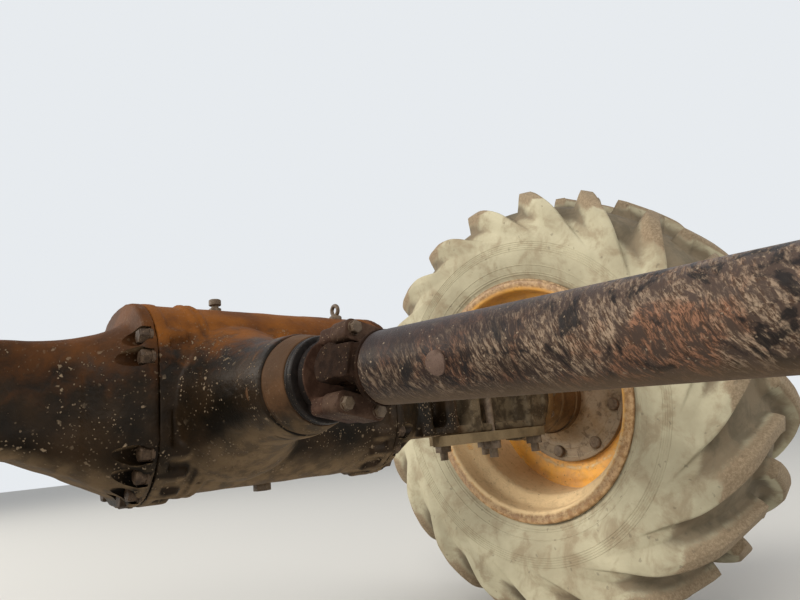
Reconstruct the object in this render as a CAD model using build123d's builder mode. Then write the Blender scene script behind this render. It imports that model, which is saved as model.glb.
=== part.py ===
from build123d import *
import os
from math import cos, radians, sin

# Drive axle of a site dumper, with its two wheels and its propeller shaft.
# Millimetres. +X runs from the axle towards the far end of the propeller shaft, +Y towards the left
# wheel, +Z up. The origin is the centre of the frame seat: the plane of the two machined pads on the
# axle arms, midway between them, straight above the wheel axis.

os.makedirs("parts", exist_ok=True)

# Clearances
running_fit = 0.05           # radial, of a shaft or trunnion in its bore
spindle_fit = 0.1            # radial, of a hub on its spindle
stud_gap = 0.5               # radial, of a stud in its hole
seat_gap = 0.3               # between curved faces that meet
moving_gap = 5.0             # between pieces that turn past each other

# Axle: driving dimensions
seat_rise = 130.0            # frame seat above the wheel axis
half_track = 1058.0          # centre of the axle to the centre of a tyre
axle_z = -seat_rise

# Differential housing
joint_right_y = -140.0       # joint face with the right arm
joint_left_y = 320.0         # joint face with the left arm
flange_half_depth = 130.0    # joint flange, fore and aft
flange_drop = 139.0          # joint flange, lowest edge below the wheel axis
flange_rise = 183.0          # joint flange, highest edge above the wheel axis
flange_corner = 112.0
flange_plate = 18.0
body_step = 8.0              # how far the body stands back from the flange, fore, aft and below
body_top_step = 2.0
pad_corner = 4.0
pad_root = 20.0              # the pads on the fore face start this deep in the body
rib_offsets = (64.0, 78.0)   # two narrow ribs round the body, from the right joint face
rib_wide = 7.0
rib_high = 5.0
bolt_inset = 15.0            # joint bolts in from the edge of the flange
drain_plug_r = 16.0
drain_plug_high = 12.0
joint_boss_r = 13.0
joint_boss_length = 46.0
# Columns: from the right joint face, width, lowest and highest edge from the wheel axis, height
housing_pads = ((0, 50, 0, 90, 8), (55, 30, 30, 90, 6))
joint_bolt_angles = (-90, -63, -48, -33, 20, 36, 62, 90, 118, 144, 160, 213, 228, 243)

# Axle arms
bell_step = 18.0             # how far the bell of an arm stands in from the joint flange
bell_top_step = 26.0
shoulder_half_depth = 98.0   # shoulder of the bell
shoulder_drop = 98.0
shoulder_rise = 129.0
shoulder_corner = 68.0
beam_half_depth = 64.0
beam_drop = 52.0             # underside below the wheel axis
beam_rise = 116.0            # top above the wheel axis
beam_corner = 34.0
shoulder_length = 62.0       # joint face to the shoulder of the bell
bell_length = 168.0          # joint face to the straight beam
brake_neck_r = 78.0
brake_flange_r = 112.0
brake_flange_thick = 22.0
brake_flange_back = 196.0    # outer face of the brake flange, inboard of the tyre centre

# Frame seat
seat_y = 730.5
seat_length = 240.0
seat_half_depth = 104.0
seat_plate = 22.0
seat_corner = 18.0
foot_corner = 14.0
post_corner = 12.0
bar_corner = 8.0
column_top_step = 8.0        # columns end this far below the top of the beam
foot_drop = 80.0             # underside of the seat casting below the wheel axis
foot_plate = 20.0
foot_half_depth = 94.0
column_first_y = 430.0
column_pitch = 78.5
column_count = 3
column_wide = 36.0
column_half_depth = 100.0
post_y = 812.0               # broad column round the outboard studs
post_wide = 76.0
post_half_depth = 104.0
stud_r = 11.0                # thread above the seat
stud_waist_r = 10.0          # shank below it, to its lower end
stud_spacing_x = 164.0
stud_spacing_y = 161.0
stud_stand = 62.0            # stud end above the seat
stud_tail = 38.0             # stud end below the clamp bar
nut_across = 36.0
nut_high = 18.0
clamp_bar_wide = 44.0
clamp_bar_thick = 22.0
# Columns: fore or aft, inboard end, outboard end
clamp_bar_ends = ((1, 471, 836), (-1, 620, 836))

# Pinion nose
pinion_y = 0.0
pinion_rise = 10.0           # pinion axis above the wheel axis
pinion_z = axle_z + pinion_rise
nose_root_x = 92.0
nose_root_r = 116.0
nose_neck_x = 216.0
nose_neck_r = 76.0
nose_end_x = 262.0
nose_end_r = 68.0
ring_r = 75.0
ring_groove_r = 68.0
ring_face_r = 72.0
ring_thick = 12.0
ring_end_x = 305.0
taper_root_r = 70.0          # tapered end of the carrier, ahead of the ring
taper_tip_r = 62.0
taper_end_x = 345.0
collar_r = 60.0
pinion_shaft_r = 28.0

# Universal joints
joint_x = 424.0              # centre of the joint at the axle end
joint_phase = 13.0           # how far the trunnions are turned from upright
flange_reach = 46.0          # joint centre to the face of the pinion flange
pinion_flange_r = 52.0
pinion_flange_thick = 14.0
cap_r = 17.0                 # bearing cap of a trunnion, in a bored ear
trunnion_r = 15.0            # trunnion in a bearing block
core_half = 21.0
ear_r = 25.0
ear_inner = 30.0             # inner face of an ear from the joint centre
ear_thick = 20.0
arm_half_height = 21.0       # arm of a yoke between its ear and its root
block_inner = 32.0
block_outer = 60.0
block_half_deep = 17.0
block_half_wide = 37.0
block_bolt_radius = 48.0     # bolts of a block from the shaft's axis
block_bolt_half = 25.0       # and from the trunnion's axis
block_bolt_r = 9.0
block_bolt_head = 4.0
yoke_root = 47.0             # joint centre to the round root of a yoke

# Propeller shaft
shaft_pitch = 3.7            # the shaft runs down from the axle by this many degrees
shaft_length = 1150.0        # between the centres of the two joints
tube_start = 56.0            # from the centre of the joint at the axle end
spline_showing = 50.0        # bare spline left between stub and cap when the slip joint is pushed in
tube_r = 45.0
tube_wall = 5.0
weight_from_start = 129.0    # middle of the balance weight, along the tube
weight_turn = -157.0         # and round it, from its left side upwards, in degrees
weight_r = 13.0
weight_thick = 2.5
slip_range = 30.0
stub_r = 24.0
stub_shoulder = 22.0
sleeve_r = 35.0
sleeve_length = 190.0
sleeve_floor = 14.0
dust_cap_r = 39.0
dust_cap_length = 34.0
dust_cap_lip = 6.0
drive_flange_r = 75.0
drive_flange_thick = 14.0
drive_reach = 50.0           # joint centre to the back of the drive flange
drive_bolt_circle = 120.0
drive_bolt_count = 8
drive_bolt_r = 5.25

# Brakes and hubs, along the wheel axis from the tyre centre, outboard positive
brake_r = 100.0
brake_end = -30.0
brake_lip_r = 104.0          # lip round the outer end of the barrel
brake_lip_wide = 22.0
spindle_r = 72.0             # fixed spindle that the hub turns on
spindle_end = 34.0
hub_neck_r = 92.0
hub_flange_r = 190.0
hub_flange_thick = 20.0
hub_web_r = 136.0            # the neck widens to this radius at the flange
hub_web_deep = 30.0
wheel_stud_circle_r = 163.0
wheel_stud_count = 8
wheel_stud_turn = 14.5       # first stud above level at the rear, in degrees
wheel_stud_r = 10.0
wheel_nut_across = 30.0
wheel_nut_high = 20.0
stud_head_across = 28.0
stud_head_high = 9.0
stud_end = 12.0
reduction_r = 138.0
reduction_depth = 78.0
reduction_crown_r = 118.0
crown_deep = 22.0
cover_r = 84.0
cover_thick = 12.0

# Rim
disc_face = 57.0             # inboard face of the disc, outboard of the tyre centre
disc_thick = 14.0
disc_bore_r = 140.0
rim_half = 177.5             # tyre centre to the outer face of a rim edge
rim_edge_r = 330.0
rim_edge_thick = 12.0
bead_seat_r = 305.0
well_r = 275.0
rim_wall = 10.0
bead_seat_wide = 42.0
well_inboard = 93.0          # tyre centre to the foot of the well's inboard slope
well_outboard = 72.0

# Tyre
tyre_r = 588.5               # over the lugs
lug_flat_drop = 3.0          # middle of a lug's flat top below its corners
lug_shoulder_drop = 30.0     # from the top of a lug to its shoulder
lug_side_drop = 85.5         # and to its widest point
lug_foot_rise = 12.0         # foot of a lug above the widest part of the carcass
tread_deep = 48.5            # carcass below the tops of the lugs
carcass_thick = 30.0
widest_r = 450.0             # where the carcass is widest
widest_thick = 25.0
shoulder_wide = 30.0         # crown of the carcass narrower than its sides by this
crown_slope = 36.0           # inside, the crown is narrower than that by this
tyre_half = 199.5            # half the width of the carcass
lug_proud = 3.0              # lugs beyond the carcass, on each side
lug_lap = 12.0               # lugs of one half pass the middle of the tread by this
lug_flat = 140.0             # flat top of a lug, from the middle of the tread
lug_sink = 20.0              # foot of a lug inside the carcass
bead_wide = 32.0
bead_rise = 8.0              # side of the tyre above the rim's edge
lug_count = 18               # on each side of a tyre
lug_reach = 140.0            # more than half a lug's length along the tread
facets = 20                  # flats round the carcass

shaft_dir = Vector(cos(radians(shaft_pitch)), 0, -sin(radians(shaft_pitch)))
upright = Vector(0, sin(radians(joint_phase)), cos(radians(joint_phase)))
level = upright.cross(shaft_dir).normalized()
drive_dir = Vector(1, 0, 0)
drive_upright = drive_dir.cross(level).normalized()
joint_centre = Vector(joint_x, pinion_y, pinion_z)
drive_centre = joint_centre + shaft_dir * shaft_length
sleeve_root = shaft_length - tube_start
sleeve_mouth = sleeve_root - sleeve_length
tube_end = sleeve_mouth - dust_cap_lip - slip_range - spline_showing - stub_shoulder
wheel_axis = Axis((0, 0, axle_z), (0, 1, 0))
pinion_axis = Axis((0, pinion_y, pinion_z), (1, 0, 0))
body_half_depth = flange_half_depth - body_step
flange_mid = (flange_rise - flange_drop) / 2
flange_half_high = (flange_rise + flange_drop) / 2
beam_mid = (beam_rise - beam_drop) / 2
beam_half_high = (beam_rise + beam_drop) / 2


def across(y):
    """Plane square to the wheel axis at y, its own x to the rear and its own y up."""
    return Plane(origin=(0, y, axle_z), x_dir=(-1, 0, 0), z_dir=(0, 1, 0))


def square_to_pinion(x):
    """Plane square to the pinion axis at x, its own y along the upright trunnions."""
    return Plane(origin=(x, pinion_y, pinion_z), x_dir=upright.cross(drive_dir), z_dir=drive_dir)


def square_to_shaft(distance):
    """Plane square to the propeller shaft, at a distance from the joint at the axle end."""
    return Plane(origin=joint_centre + shaft_dir * distance, x_dir=level, z_dir=shaft_dir)


def square_to_drive(distance):
    """Plane square to the drive flange, at a distance from the joint at the drive end."""
    return Plane(origin=drive_centre + drive_dir * distance, x_dir=drive_upright.cross(drive_dir),
                 z_dir=drive_dir)


def finish(piece, name):
    piece.part.label = name
    export_step(piece.part, f"parts/{name}.step")


def casting_section(half_depth, drop, rise, corner):
    """Rounded section of the housing or an arm, between heights measured from the wheel axis."""
    with Locations((0, (rise - drop) / 2)):
        RectangleRounded(2 * half_depth, rise + drop, corner)


# Joint bolts follow the edge of the flange, a little inside it
bolt_places = [
    ((flange_half_depth - bolt_inset) * cos(radians(a)),
     flange_mid + (flange_half_high - bolt_inset) * sin(radians(a)))
    for a in joint_bolt_angles
]

# Differential housing: rounded barrel with a joint flange at each end, bosses behind the joint bolts,
# two ribs round it, two pads on its fore face and the tapered nose that carries the pinion
with BuildPart() as differential_housing:
    with BuildSketch(across(joint_right_y)):
        casting_section(body_half_depth, flange_drop - body_step, flange_rise - body_top_step,
                        flange_corner - body_step)
    extrude(amount=joint_left_y - joint_right_y)
    for face_y, inward in ((joint_right_y, 1), (joint_left_y, -1)):
        with BuildSketch(across(face_y)):
            casting_section(flange_half_depth, flange_drop, flange_rise, flange_corner)
        extrude(amount=inward * flange_plate)
        with BuildSketch(across(face_y)):
            with Locations(*[(-x, z) for x, z in bolt_places]):
                Circle(joint_boss_r)
        extrude(amount=inward * joint_boss_length)
    for offset_y in rib_offsets:
        with BuildSketch(across(joint_right_y + offset_y)):
            casting_section(body_half_depth + rib_high, flange_drop - body_step + rib_high,
                            flange_rise - body_top_step + rib_high, flange_corner - body_step + rib_high)
        extrude(amount=rib_wide)
    for pad_y, pad_wide, pad_low, pad_top, pad_high in housing_pads:
        pad_plane = Plane(origin=(body_half_depth - pad_root, 0, axle_z), x_dir=(0, 1, 0), z_dir=(1, 0, 0))
        with BuildSketch(pad_plane):
            with Locations((joint_right_y + pad_y + pad_wide / 2, (pad_low + pad_top) / 2)):
                RectangleRounded(pad_wide, pad_top - pad_low, pad_corner)
        extrude(amount=pad_root + pad_high)
    with BuildSketch(Plane(origin=(0, pinion_y, pinion_z), x_dir=(1, 0, 0), z_dir=(0, -1, 0))):
        with BuildLine():
            Polyline(
                (0, 0),
                (0, nose_root_r),
                (nose_root_x, nose_root_r),
                (nose_neck_x, nose_neck_r),
                (nose_end_x, nose_end_r),
                (nose_end_x, 0),
                close=True,
            )
        make_face()
    revolve(axis=pinion_axis)
finish(differential_housing, "differential_housing")

# Pinion carrier: ring with a groove round it at the end of the nose, then a tapered end
with BuildPart() as pinion_carrier:
    with BuildSketch(Plane(origin=(0, pinion_y, pinion_z), x_dir=(1, 0, 0), z_dir=(0, -1, 0))):
        with BuildLine():
            Polyline(
                (nose_end_x, pinion_shaft_r + running_fit),
                (nose_end_x, ring_r),
                (nose_end_x + ring_thick, ring_r),
                (nose_end_x + ring_thick, ring_groove_r),
                (ring_end_x - ring_thick, ring_groove_r),
                (ring_end_x - ring_thick, ring_face_r),
                (ring_end_x, ring_face_r),
                (ring_end_x, taper_root_r),
                (taper_end_x, taper_tip_r),
                (taper_end_x, pinion_shaft_r + running_fit),
                close=True,
            )
        make_face()
    revolve(axis=pinion_axis)
finish(pinion_carrier, "pinion_carrier")

pinion_face_x = joint_x - flange_reach
collar_end_x = pinion_face_x - pinion_flange_thick - moving_gap
with BuildPart() as pinion_seal:
    with BuildSketch(square_to_pinion(taper_end_x)):
        Circle(collar_r)
        Circle(pinion_shaft_r + running_fit, mode=Mode.SUBTRACT)
    extrude(amount=collar_end_x - taper_end_x)
finish(pinion_seal, "pinion_seal")

drain_y = (joint_right_y + joint_left_y) / 2
drain_plane = Plane(origin=(0, drain_y, axle_z - flange_drop + body_step), z_dir=(0, 0, -1))
with BuildPart() as drain_plug:
    with BuildSketch(drain_plane):
        RegularPolygon(drain_plug_r, 6)
    extrude(amount=drain_plug_high)
finish(drain_plug, "drain_plug")

# Tyre about its own centre, hollow between its beads. Its carcass is a ring of flat segments, and a row of
# shoulder lugs stands on each half, one row half a pitch on from the other. Both wheels carry this form.
bead_y = rim_half - rim_edge_thick - seat_gap
bore_r = bead_seat_r + seat_gap
half_facet = 180 / facets
lug_pitch = 360 / lug_count
carcass_r = tyre_r - tread_deep
lug_top_r = tyre_r - lug_flat_drop
lug_side = tyre_half + lug_proud
lug_root_r = widest_r - widest_thick
# Columns: distance from the tyre centre, radius, down the outside of one half and back up its inside
half_section = (
    (tyre_half - shoulder_wide, carcass_r),
    (tyre_half, widest_r),
    (bead_y, rim_edge_r + bead_rise),
    (bead_y, bore_r),
    (bead_y - bead_wide, bore_r),
    (tyre_half - shoulder_wide, widest_r - widest_thick),
    (tyre_half - shoulder_wide - crown_slope, carcass_r - carcass_thick),
)
# Columns: distance from the tyre centre, middle of the lug along the tread, half width
lug_rows = ((-lug_lap, -50, 19), (100, -22, 22), (tyre_half + 10, 46, 30))
# Columns: distance from the tyre centre, radius
lug_section = (
    (-lug_lap, carcass_r - lug_sink),
    (-lug_lap, lug_top_r),
    (lug_flat, lug_top_r),
    (lug_side - 10, lug_top_r - lug_shoulder_drop),
    (lug_side, lug_top_r - lug_side_drop),
    (lug_side, widest_r + lug_foot_rise),
    (lug_flat - lug_sink, widest_r + lug_foot_rise),
)
with BuildPart() as segment:
    with BuildSketch(Plane.YZ):
        with BuildLine():
            Polyline(*half_section, *[(-y, r) for y, r in reversed(half_section)], close=True)
        make_face()
    extrude(amount=tyre_r * sin(radians(2 * half_facet)), both=True)
    for turn, keep in ((-half_facet, Keep.TOP), (half_facet, Keep.BOTTOM)):
        side_dir = (cos(radians(turn)), 0, -sin(radians(turn)))
        split(bisect_by=Plane(origin=(0, 0, 0), x_dir=(0, 1, 0), z_dir=side_dir), keep=keep)

with BuildPart() as lug:
    with BuildSketch(Plane(origin=(0, 0, lug_root_r), x_dir=(-1, 0, 0), z_dir=(0, 0, 1))):
        with BuildLine():
            Polyline(
                *[(middle - half, -y) for y, middle, half in lug_rows],
                *[(middle + half, -y) for y, middle, half in reversed(lug_rows)],
                close=True,
            )
        make_face()
    extrude(amount=tyre_r - lug_root_r)
    with BuildSketch(Plane.YZ):
        with BuildLine():
            Polyline(*lug_section, close=True)
        make_face()
    extrude(amount=lug_reach, both=True, mode=Mode.INTERSECT)

with BuildPart() as tyre_form:
    with Locations(*[Location((0, 0, 0), (0, n * 2 * half_facet, 0)) for n in range(facets)]):
        add(segment.part)
    with Locations(*[Location((0, 0, 0), (0, n * lug_pitch, 0)) for n in range(lug_count)]):
        add(lug.part)
    with Locations(*[Location((0, 0, 0), (0, (n + 0.5) * lug_pitch, 0)) for n in range(lug_count)]):
        add(lug.part.mirror(Plane.XZ))

stud_spots = [(sx * stud_spacing_x / 2, sy * stud_spacing_y / 2) for sx in (-1, 1) for sy in (-1, 1)]
foot_z = axle_z - foot_drop
bar_foot_z = foot_z - clamp_bar_thick
foot_start = column_first_y - column_wide / 2
foot_end = post_y + post_wide / 2

for side, s in (("left", 1), ("right", -1)):
    joint_y = joint_left_y if s > 0 else -joint_right_y
    brake_face_y = half_track - brake_flange_back
    wheel_y = s * half_track
    section = Plane(origin=(0, wheel_y, axle_z), x_dir=(0, s, 0), z_dir=(s, 0, 0))
    disc_plane_y = wheel_y + s * disc_face

    # Axle arm: flange and bell at the housing, straight beam, frame seat, flange for the brake
    # Columns: y, half depth, lowest and highest edge from the wheel axis, corner radius
    bell = (
        (joint_y, flange_half_depth - bell_step, flange_drop - bell_step, flange_rise - bell_top_step,
         flange_corner - bell_step),
        (joint_y + shoulder_length, shoulder_half_depth, shoulder_drop, shoulder_rise, shoulder_corner),
        (joint_y + bell_length, beam_half_depth, beam_drop, beam_rise, beam_corner),
    )
    with BuildPart() as axle_arm:
        for y, half_depth, drop, rise, corner in bell:
            with BuildSketch(across(s * y)):
                casting_section(half_depth, drop, rise, corner)
        loft()
        with BuildSketch(across(s * joint_y)):
            casting_section(flange_half_depth, flange_drop, flange_rise, flange_corner)
        extrude(amount=s * flange_plate)
        with BuildSketch(across(s * (joint_y + bell_length))):
            casting_section(beam_half_depth, beam_drop, beam_rise, beam_corner)
        extrude(amount=s * (brake_face_y - brake_flange_thick - joint_y - bell_length))
        with BuildSketch(across(s * (brake_face_y - brake_flange_thick))):
            Circle(brake_flange_r)
        extrude(amount=s * brake_flange_thick)
        with BuildSketch(Plane.XY):
            with Locations((0, s * seat_y)):
                RectangleRounded(2 * seat_half_depth, seat_length, seat_corner)
        extrude(amount=-seat_plate)
        with BuildSketch(Plane.XY.offset(foot_z)):
            with Locations((0, s * (foot_start + foot_end) / 2)):
                RectangleRounded(2 * foot_half_depth, foot_end - foot_start, foot_corner)
        extrude(amount=foot_plate)
        with BuildSketch(Plane.XY.offset(foot_z + foot_plate)):
            with Locations((0, s * seat_y)):
                Rectangle(2 * beam_half_depth, seat_length)
        extrude(amount=foot_drop - foot_plate)
        with BuildSketch(Plane.XY.offset(foot_z)):
            for n in range(column_count):
                with Locations((0, s * (column_first_y + n * column_pitch))):
                    Rectangle(2 * column_half_depth, column_wide)
        extrude(amount=foot_drop + beam_rise - column_top_step)
        with BuildSketch(Plane.XY.offset(foot_z)):
            with Locations((0, s * post_y)):
                RectangleRounded(2 * post_half_depth, post_wide, post_corner)
        extrude(amount=-foot_z - seat_plate)
        with BuildSketch(Plane.XY):
            with Locations((0, s * seat_y)):
                with Locations(*stud_spots):
                    Circle(stud_r + stud_gap)
        extrude(amount=foot_z, mode=Mode.SUBTRACT)
    finish(axle_arm, f"axle_arm_{side}")

    with BuildPart() as clamp_bars:
        with BuildSketch(Plane.XY.offset(bar_foot_z)):
            for way, inboard, outboard in clamp_bar_ends:
                with Locations((way * stud_spacing_x / 2, s * (inboard + outboard) / 2)):
                    RectangleRounded(clamp_bar_wide, outboard - inboard, bar_corner)
            with Locations((0, s * seat_y)):
                with Locations(*stud_spots):
                    Circle(stud_waist_r + stud_gap, mode=Mode.SUBTRACT)
        extrude(amount=clamp_bar_thick)
    finish(clamp_bars, f"clamp_bars_{side}")

    with BuildPart() as seat_studs:
        for start_z, end_z, r in ((bar_foot_z - stud_tail, 0, stud_waist_r), (0, stud_stand, stud_r)):
            with BuildSketch(Plane.XY.offset(start_z)):
                with Locations((0, s * seat_y)):
                    with Locations(*stud_spots):
                        Circle(r)
            extrude(amount=end_z - start_z)
        with BuildSketch(Plane.XY.offset(bar_foot_z)):
            with Locations((0, s * seat_y)):
                with Locations(*stud_spots):
                    RegularPolygon(nut_across / 2, 6, major_radius=False)
        extrude(amount=-nut_high)
    finish(seat_studs, f"seat_studs_{side}")

    # Brake housing: fixed barrel between the arm and the turning hub, with the spindle
    with BuildPart() as brake_housing:
        with BuildSketch(section):
            with BuildLine():
                Polyline(
                    (-brake_flange_back, 0),
                    (-brake_flange_back, brake_flange_r),
                    (-brake_flange_back + brake_flange_thick, brake_flange_r),
                    (-brake_flange_back + brake_flange_thick, brake_r),
                    (brake_end - brake_lip_wide, brake_r),
                    (brake_end - brake_lip_wide, brake_lip_r),
                    (brake_end, brake_lip_r),
                    (brake_end, spindle_r),
                    (spindle_end, spindle_r),
                    (spindle_end, 0),
                    close=True,
                )
            make_face()
        revolve(axis=wheel_axis)
    finish(brake_housing, f"brake_housing_{side}")

    # Wheel hub: neck next to the brake, flange with the wheel studs
    with BuildPart() as wheel_hub:
        with BuildSketch(section):
            with BuildLine():
                Polyline(
                    (spindle_end + moving_gap, 0),
                    (spindle_end + moving_gap, spindle_r + spindle_fit),
                    (brake_end + moving_gap, spindle_r + spindle_fit),
                    (brake_end + moving_gap, hub_neck_r),
                    (disc_face - hub_flange_thick - hub_web_deep, hub_neck_r),
                    (disc_face - hub_flange_thick, hub_web_r),
                    (disc_face - hub_flange_thick, hub_flange_r),
                    (disc_face, hub_flange_r),
                    (disc_face, 0),
                    close=True,
                )
            make_face()
        revolve(axis=wheel_axis)
        with BuildSketch(across(disc_plane_y)):
            with PolarLocations(wheel_stud_circle_r, wheel_stud_count, start_angle=wheel_stud_turn):
                Circle(wheel_stud_r + stud_gap)
        extrude(amount=-s * hub_flange_thick, mode=Mode.SUBTRACT)
    finish(wheel_hub, f"wheel_hub_{side}")

    # Hub reduction: planet carrier outboard of the disc, with its round cover
    with BuildPart() as hub_reduction:
        with BuildSketch(section):
            with BuildLine():
                Polyline(
                    (disc_face, 0),
                    (disc_face, reduction_r),
                    (disc_face + reduction_depth - crown_deep, reduction_r),
                    (disc_face + reduction_depth, reduction_crown_r),
                    (disc_face + reduction_depth, cover_r),
                    (disc_face + reduction_depth + cover_thick, cover_r),
                    (disc_face + reduction_depth + cover_thick, 0),
                    close=True,
                )
            make_face()
        revolve(axis=wheel_axis)
    finish(hub_reduction, f"hub_reduction_{side}")

    with BuildPart() as wheel_studs:
        with BuildSketch(across(disc_plane_y - s * (hub_flange_thick + stud_head_high))):
            with PolarLocations(wheel_stud_circle_r, wheel_stud_count, start_angle=wheel_stud_turn):
                Circle(wheel_stud_r)
        extrude(amount=s * (stud_head_high + hub_flange_thick + disc_thick + wheel_nut_high + stud_end))
        for face_y, across_flats, thick in (
            (disc_plane_y - s * hub_flange_thick, stud_head_across, -stud_head_high),
            (disc_plane_y + s * disc_thick, wheel_nut_across, wheel_nut_high),
        ):
            with BuildSketch(across(face_y)):
                with PolarLocations(wheel_stud_circle_r, wheel_stud_count, start_angle=wheel_stud_turn):
                    RegularPolygon(across_flats / 2, 6, major_radius=False)
            extrude(amount=s * thick)
    finish(wheel_studs, f"wheel_studs_{side}")

    # Rim: rolled edges, bead seats and drop centre, with the disc welded into the well
    seat_end = rim_half - rim_edge_thick - bead_seat_wide
    # Columns: distance from the tyre centre, radius on the tyre side, from the inboard edge outwards
    tyre_side = (
        (-rim_half, rim_edge_r),
        (-rim_half + rim_edge_thick, rim_edge_r),
        (-rim_half + rim_edge_thick, bead_seat_r),
        (-seat_end, bead_seat_r),
        (-well_inboard, well_r),
        (well_outboard, well_r),
        (seat_end, bead_seat_r),
        (rim_half - rim_edge_thick, bead_seat_r),
        (rim_half - rim_edge_thick, rim_edge_r),
        (rim_half, rim_edge_r),
    )
    hub_side = (
        (rim_half, bead_seat_r - rim_wall),
        (seat_end, bead_seat_r - rim_wall),
        (well_outboard, well_r - rim_wall),
        (-well_inboard, well_r - rim_wall),
        (-seat_end, bead_seat_r - rim_wall),
        (-rim_half, bead_seat_r - rim_wall),
    )
    with BuildPart() as rim:
        with BuildSketch(section):
            with BuildLine():
                Polyline(*tyre_side, *hub_side, close=True)
            make_face()
        revolve(axis=wheel_axis)
        with BuildSketch(across(disc_plane_y)):
            Circle(well_r - rim_wall / 2)
            Circle(disc_bore_r, mode=Mode.SUBTRACT)
            with PolarLocations(wheel_stud_circle_r, wheel_stud_count, start_angle=wheel_stud_turn):
                Circle(wheel_stud_r + stud_gap, mode=Mode.SUBTRACT)
        extrude(amount=s * disc_thick)
    finish(rim, f"rim_{side}")

    with BuildPart() as tyre:
        with Locations((0, wheel_y, axle_z)):
            add(tyre_form.part)
    finish(tyre, f"tyre_{side}")

# Pinion flange: disc on the pinion shaft, with a shoulder above and below for the bearing blocks
block_middle = (block_inner + block_outer) / 2
with BuildPart() as pinion_flange:
    with BuildSketch(square_to_pinion(pinion_face_x)):
        Circle(pinion_flange_r)
    extrude(amount=-pinion_flange_thick)
    with BuildSketch(square_to_pinion(pinion_face_x - pinion_flange_thick)):
        Circle(pinion_shaft_r)
    extrude(amount=-(pinion_face_x - pinion_flange_thick - nose_end_x))
    with BuildSketch(square_to_pinion(pinion_face_x)):
        with Locations((0, block_middle), (0, -block_middle)):
            RectangleRounded(2 * block_half_wide - 6, block_outer - block_inner - 4, 8)
    extrude(amount=flange_reach - block_half_deep)
    with BuildSketch(square_to_pinion(pinion_face_x - pinion_flange_thick)):
        with Locations((0, block_middle - 6), (0, -block_middle + 6)):
            RectangleRounded(2 * block_half_wide - 16, block_outer - block_inner - 6, 6)
    extrude(amount=pinion_flange_thick)
finish(pinion_flange, "pinion_flange")

with BuildPart() as bearing_blocks:
    with BuildSketch(square_to_pinion(joint_x - block_half_deep)):
        with Locations((0, block_middle), (0, -block_middle)):
            RectangleRounded(2 * block_half_wide, block_outer - block_inner, 10)
    extrude(amount=2 * block_half_deep)
    with BuildSketch(square_to_pinion(joint_x + block_half_deep)):
        with Locations(*[(a * block_bolt_half, b * block_bolt_radius) for a in (-1, 1) for b in (-1, 1)]):
            RegularPolygon(block_bolt_r, 6)
    extrude(amount=block_bolt_head)
    with BuildSketch(Plane(origin=joint_centre, x_dir=drive_dir, z_dir=upright)):
        Circle(trunnion_r + running_fit)
    extrude(amount=block_outer - 5, both=True, mode=Mode.SUBTRACT)
finish(bearing_blocks, "bearing_blocks")

ear_outer = ear_inner + ear_thick


def cross_of(centre, along, up, up_r, up_half):
    """Cross of a joint, its caps at the ends of the level trunnions and up_r on the other two."""
    with BuildPart() as cross:
        with BuildSketch(Plane(origin=centre - level * core_half, x_dir=along, z_dir=level)):
            RectangleRounded(2 * core_half, 2 * core_half, 9)
        extrude(amount=2 * core_half)
        with BuildSketch(Plane(origin=centre, x_dir=along, z_dir=level)):
            Circle(cap_r)
        extrude(amount=ear_outer - 2, both=True)
        with BuildSketch(Plane(origin=centre, x_dir=along, z_dir=up)):
            Circle(up_r)
        extrude(amount=up_half, both=True)
    return cross


def ears_on(centre, along, pin, reach):
    """Two bored ears on either side of the centre, with arms that run along to their root."""
    with BuildPart() as ears:
        for way in (-1, 1):
            with BuildSketch(Plane(origin=centre + pin * way * ear_inner, x_dir=along, z_dir=pin * way)):
                Circle(ear_r)
                with Locations((reach / 2, 0)):
                    Rectangle(reach, 2 * arm_half_height)
                Circle(cap_r + running_fit, mode=Mode.SUBTRACT)
            extrude(amount=ear_thick)
    return ears


cross_axle_end = cross_of(joint_centre, shaft_dir, upright, trunnion_r, block_outer - 6)
finish(cross_axle_end, "cross_axle_end")

# Shaft yoke: ears and arms that widen into the round end of the tube
with BuildPart() as shaft_yoke:
    add(ears_on(joint_centre, shaft_dir, level, yoke_root).part)
    with BuildSketch(square_to_shaft(yoke_root)):
        Circle(tube_r)
    extrude(amount=tube_start - yoke_root)
finish(shaft_yoke, "shaft_yoke")

with BuildPart() as shaft_tube:
    with BuildSketch(square_to_shaft(tube_start)):
        Circle(tube_r)
        Circle(tube_r - tube_wall, mode=Mode.SUBTRACT)
    extrude(amount=tube_end - tube_start)
finish(shaft_tube, "shaft_tube")

# Balance weight: small round plate welded to the tube and bent to it
weight_middle = tube_start + weight_from_start
weight_dir = level * cos(radians(weight_turn)) + shaft_dir.cross(level) * sin(radians(weight_turn))
with BuildPart() as balance_weight:
    with BuildSketch(square_to_shaft(weight_middle - weight_r)):
        Circle(tube_r + weight_thick)
        Circle(tube_r, mode=Mode.SUBTRACT)
    extrude(amount=2 * weight_r)
    weight_plane = Plane(origin=joint_centre + shaft_dir * weight_middle, x_dir=shaft_dir, z_dir=weight_dir)
    with BuildSketch(weight_plane):
        Circle(weight_r)
    extrude(amount=2 * tube_r, mode=Mode.INTERSECT)
finish(balance_weight, "balance_weight")

with BuildPart() as splined_stub:
    with BuildSketch(square_to_shaft(tube_end)):
        Circle(tube_r)
    extrude(amount=stub_shoulder)
    with BuildSketch(square_to_shaft(tube_end)):
        Circle(stub_r)
    extrude(amount=sleeve_root - sleeve_floor - slip_range - moving_gap - tube_end)
finish(splined_stub, "splined_stub")

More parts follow.
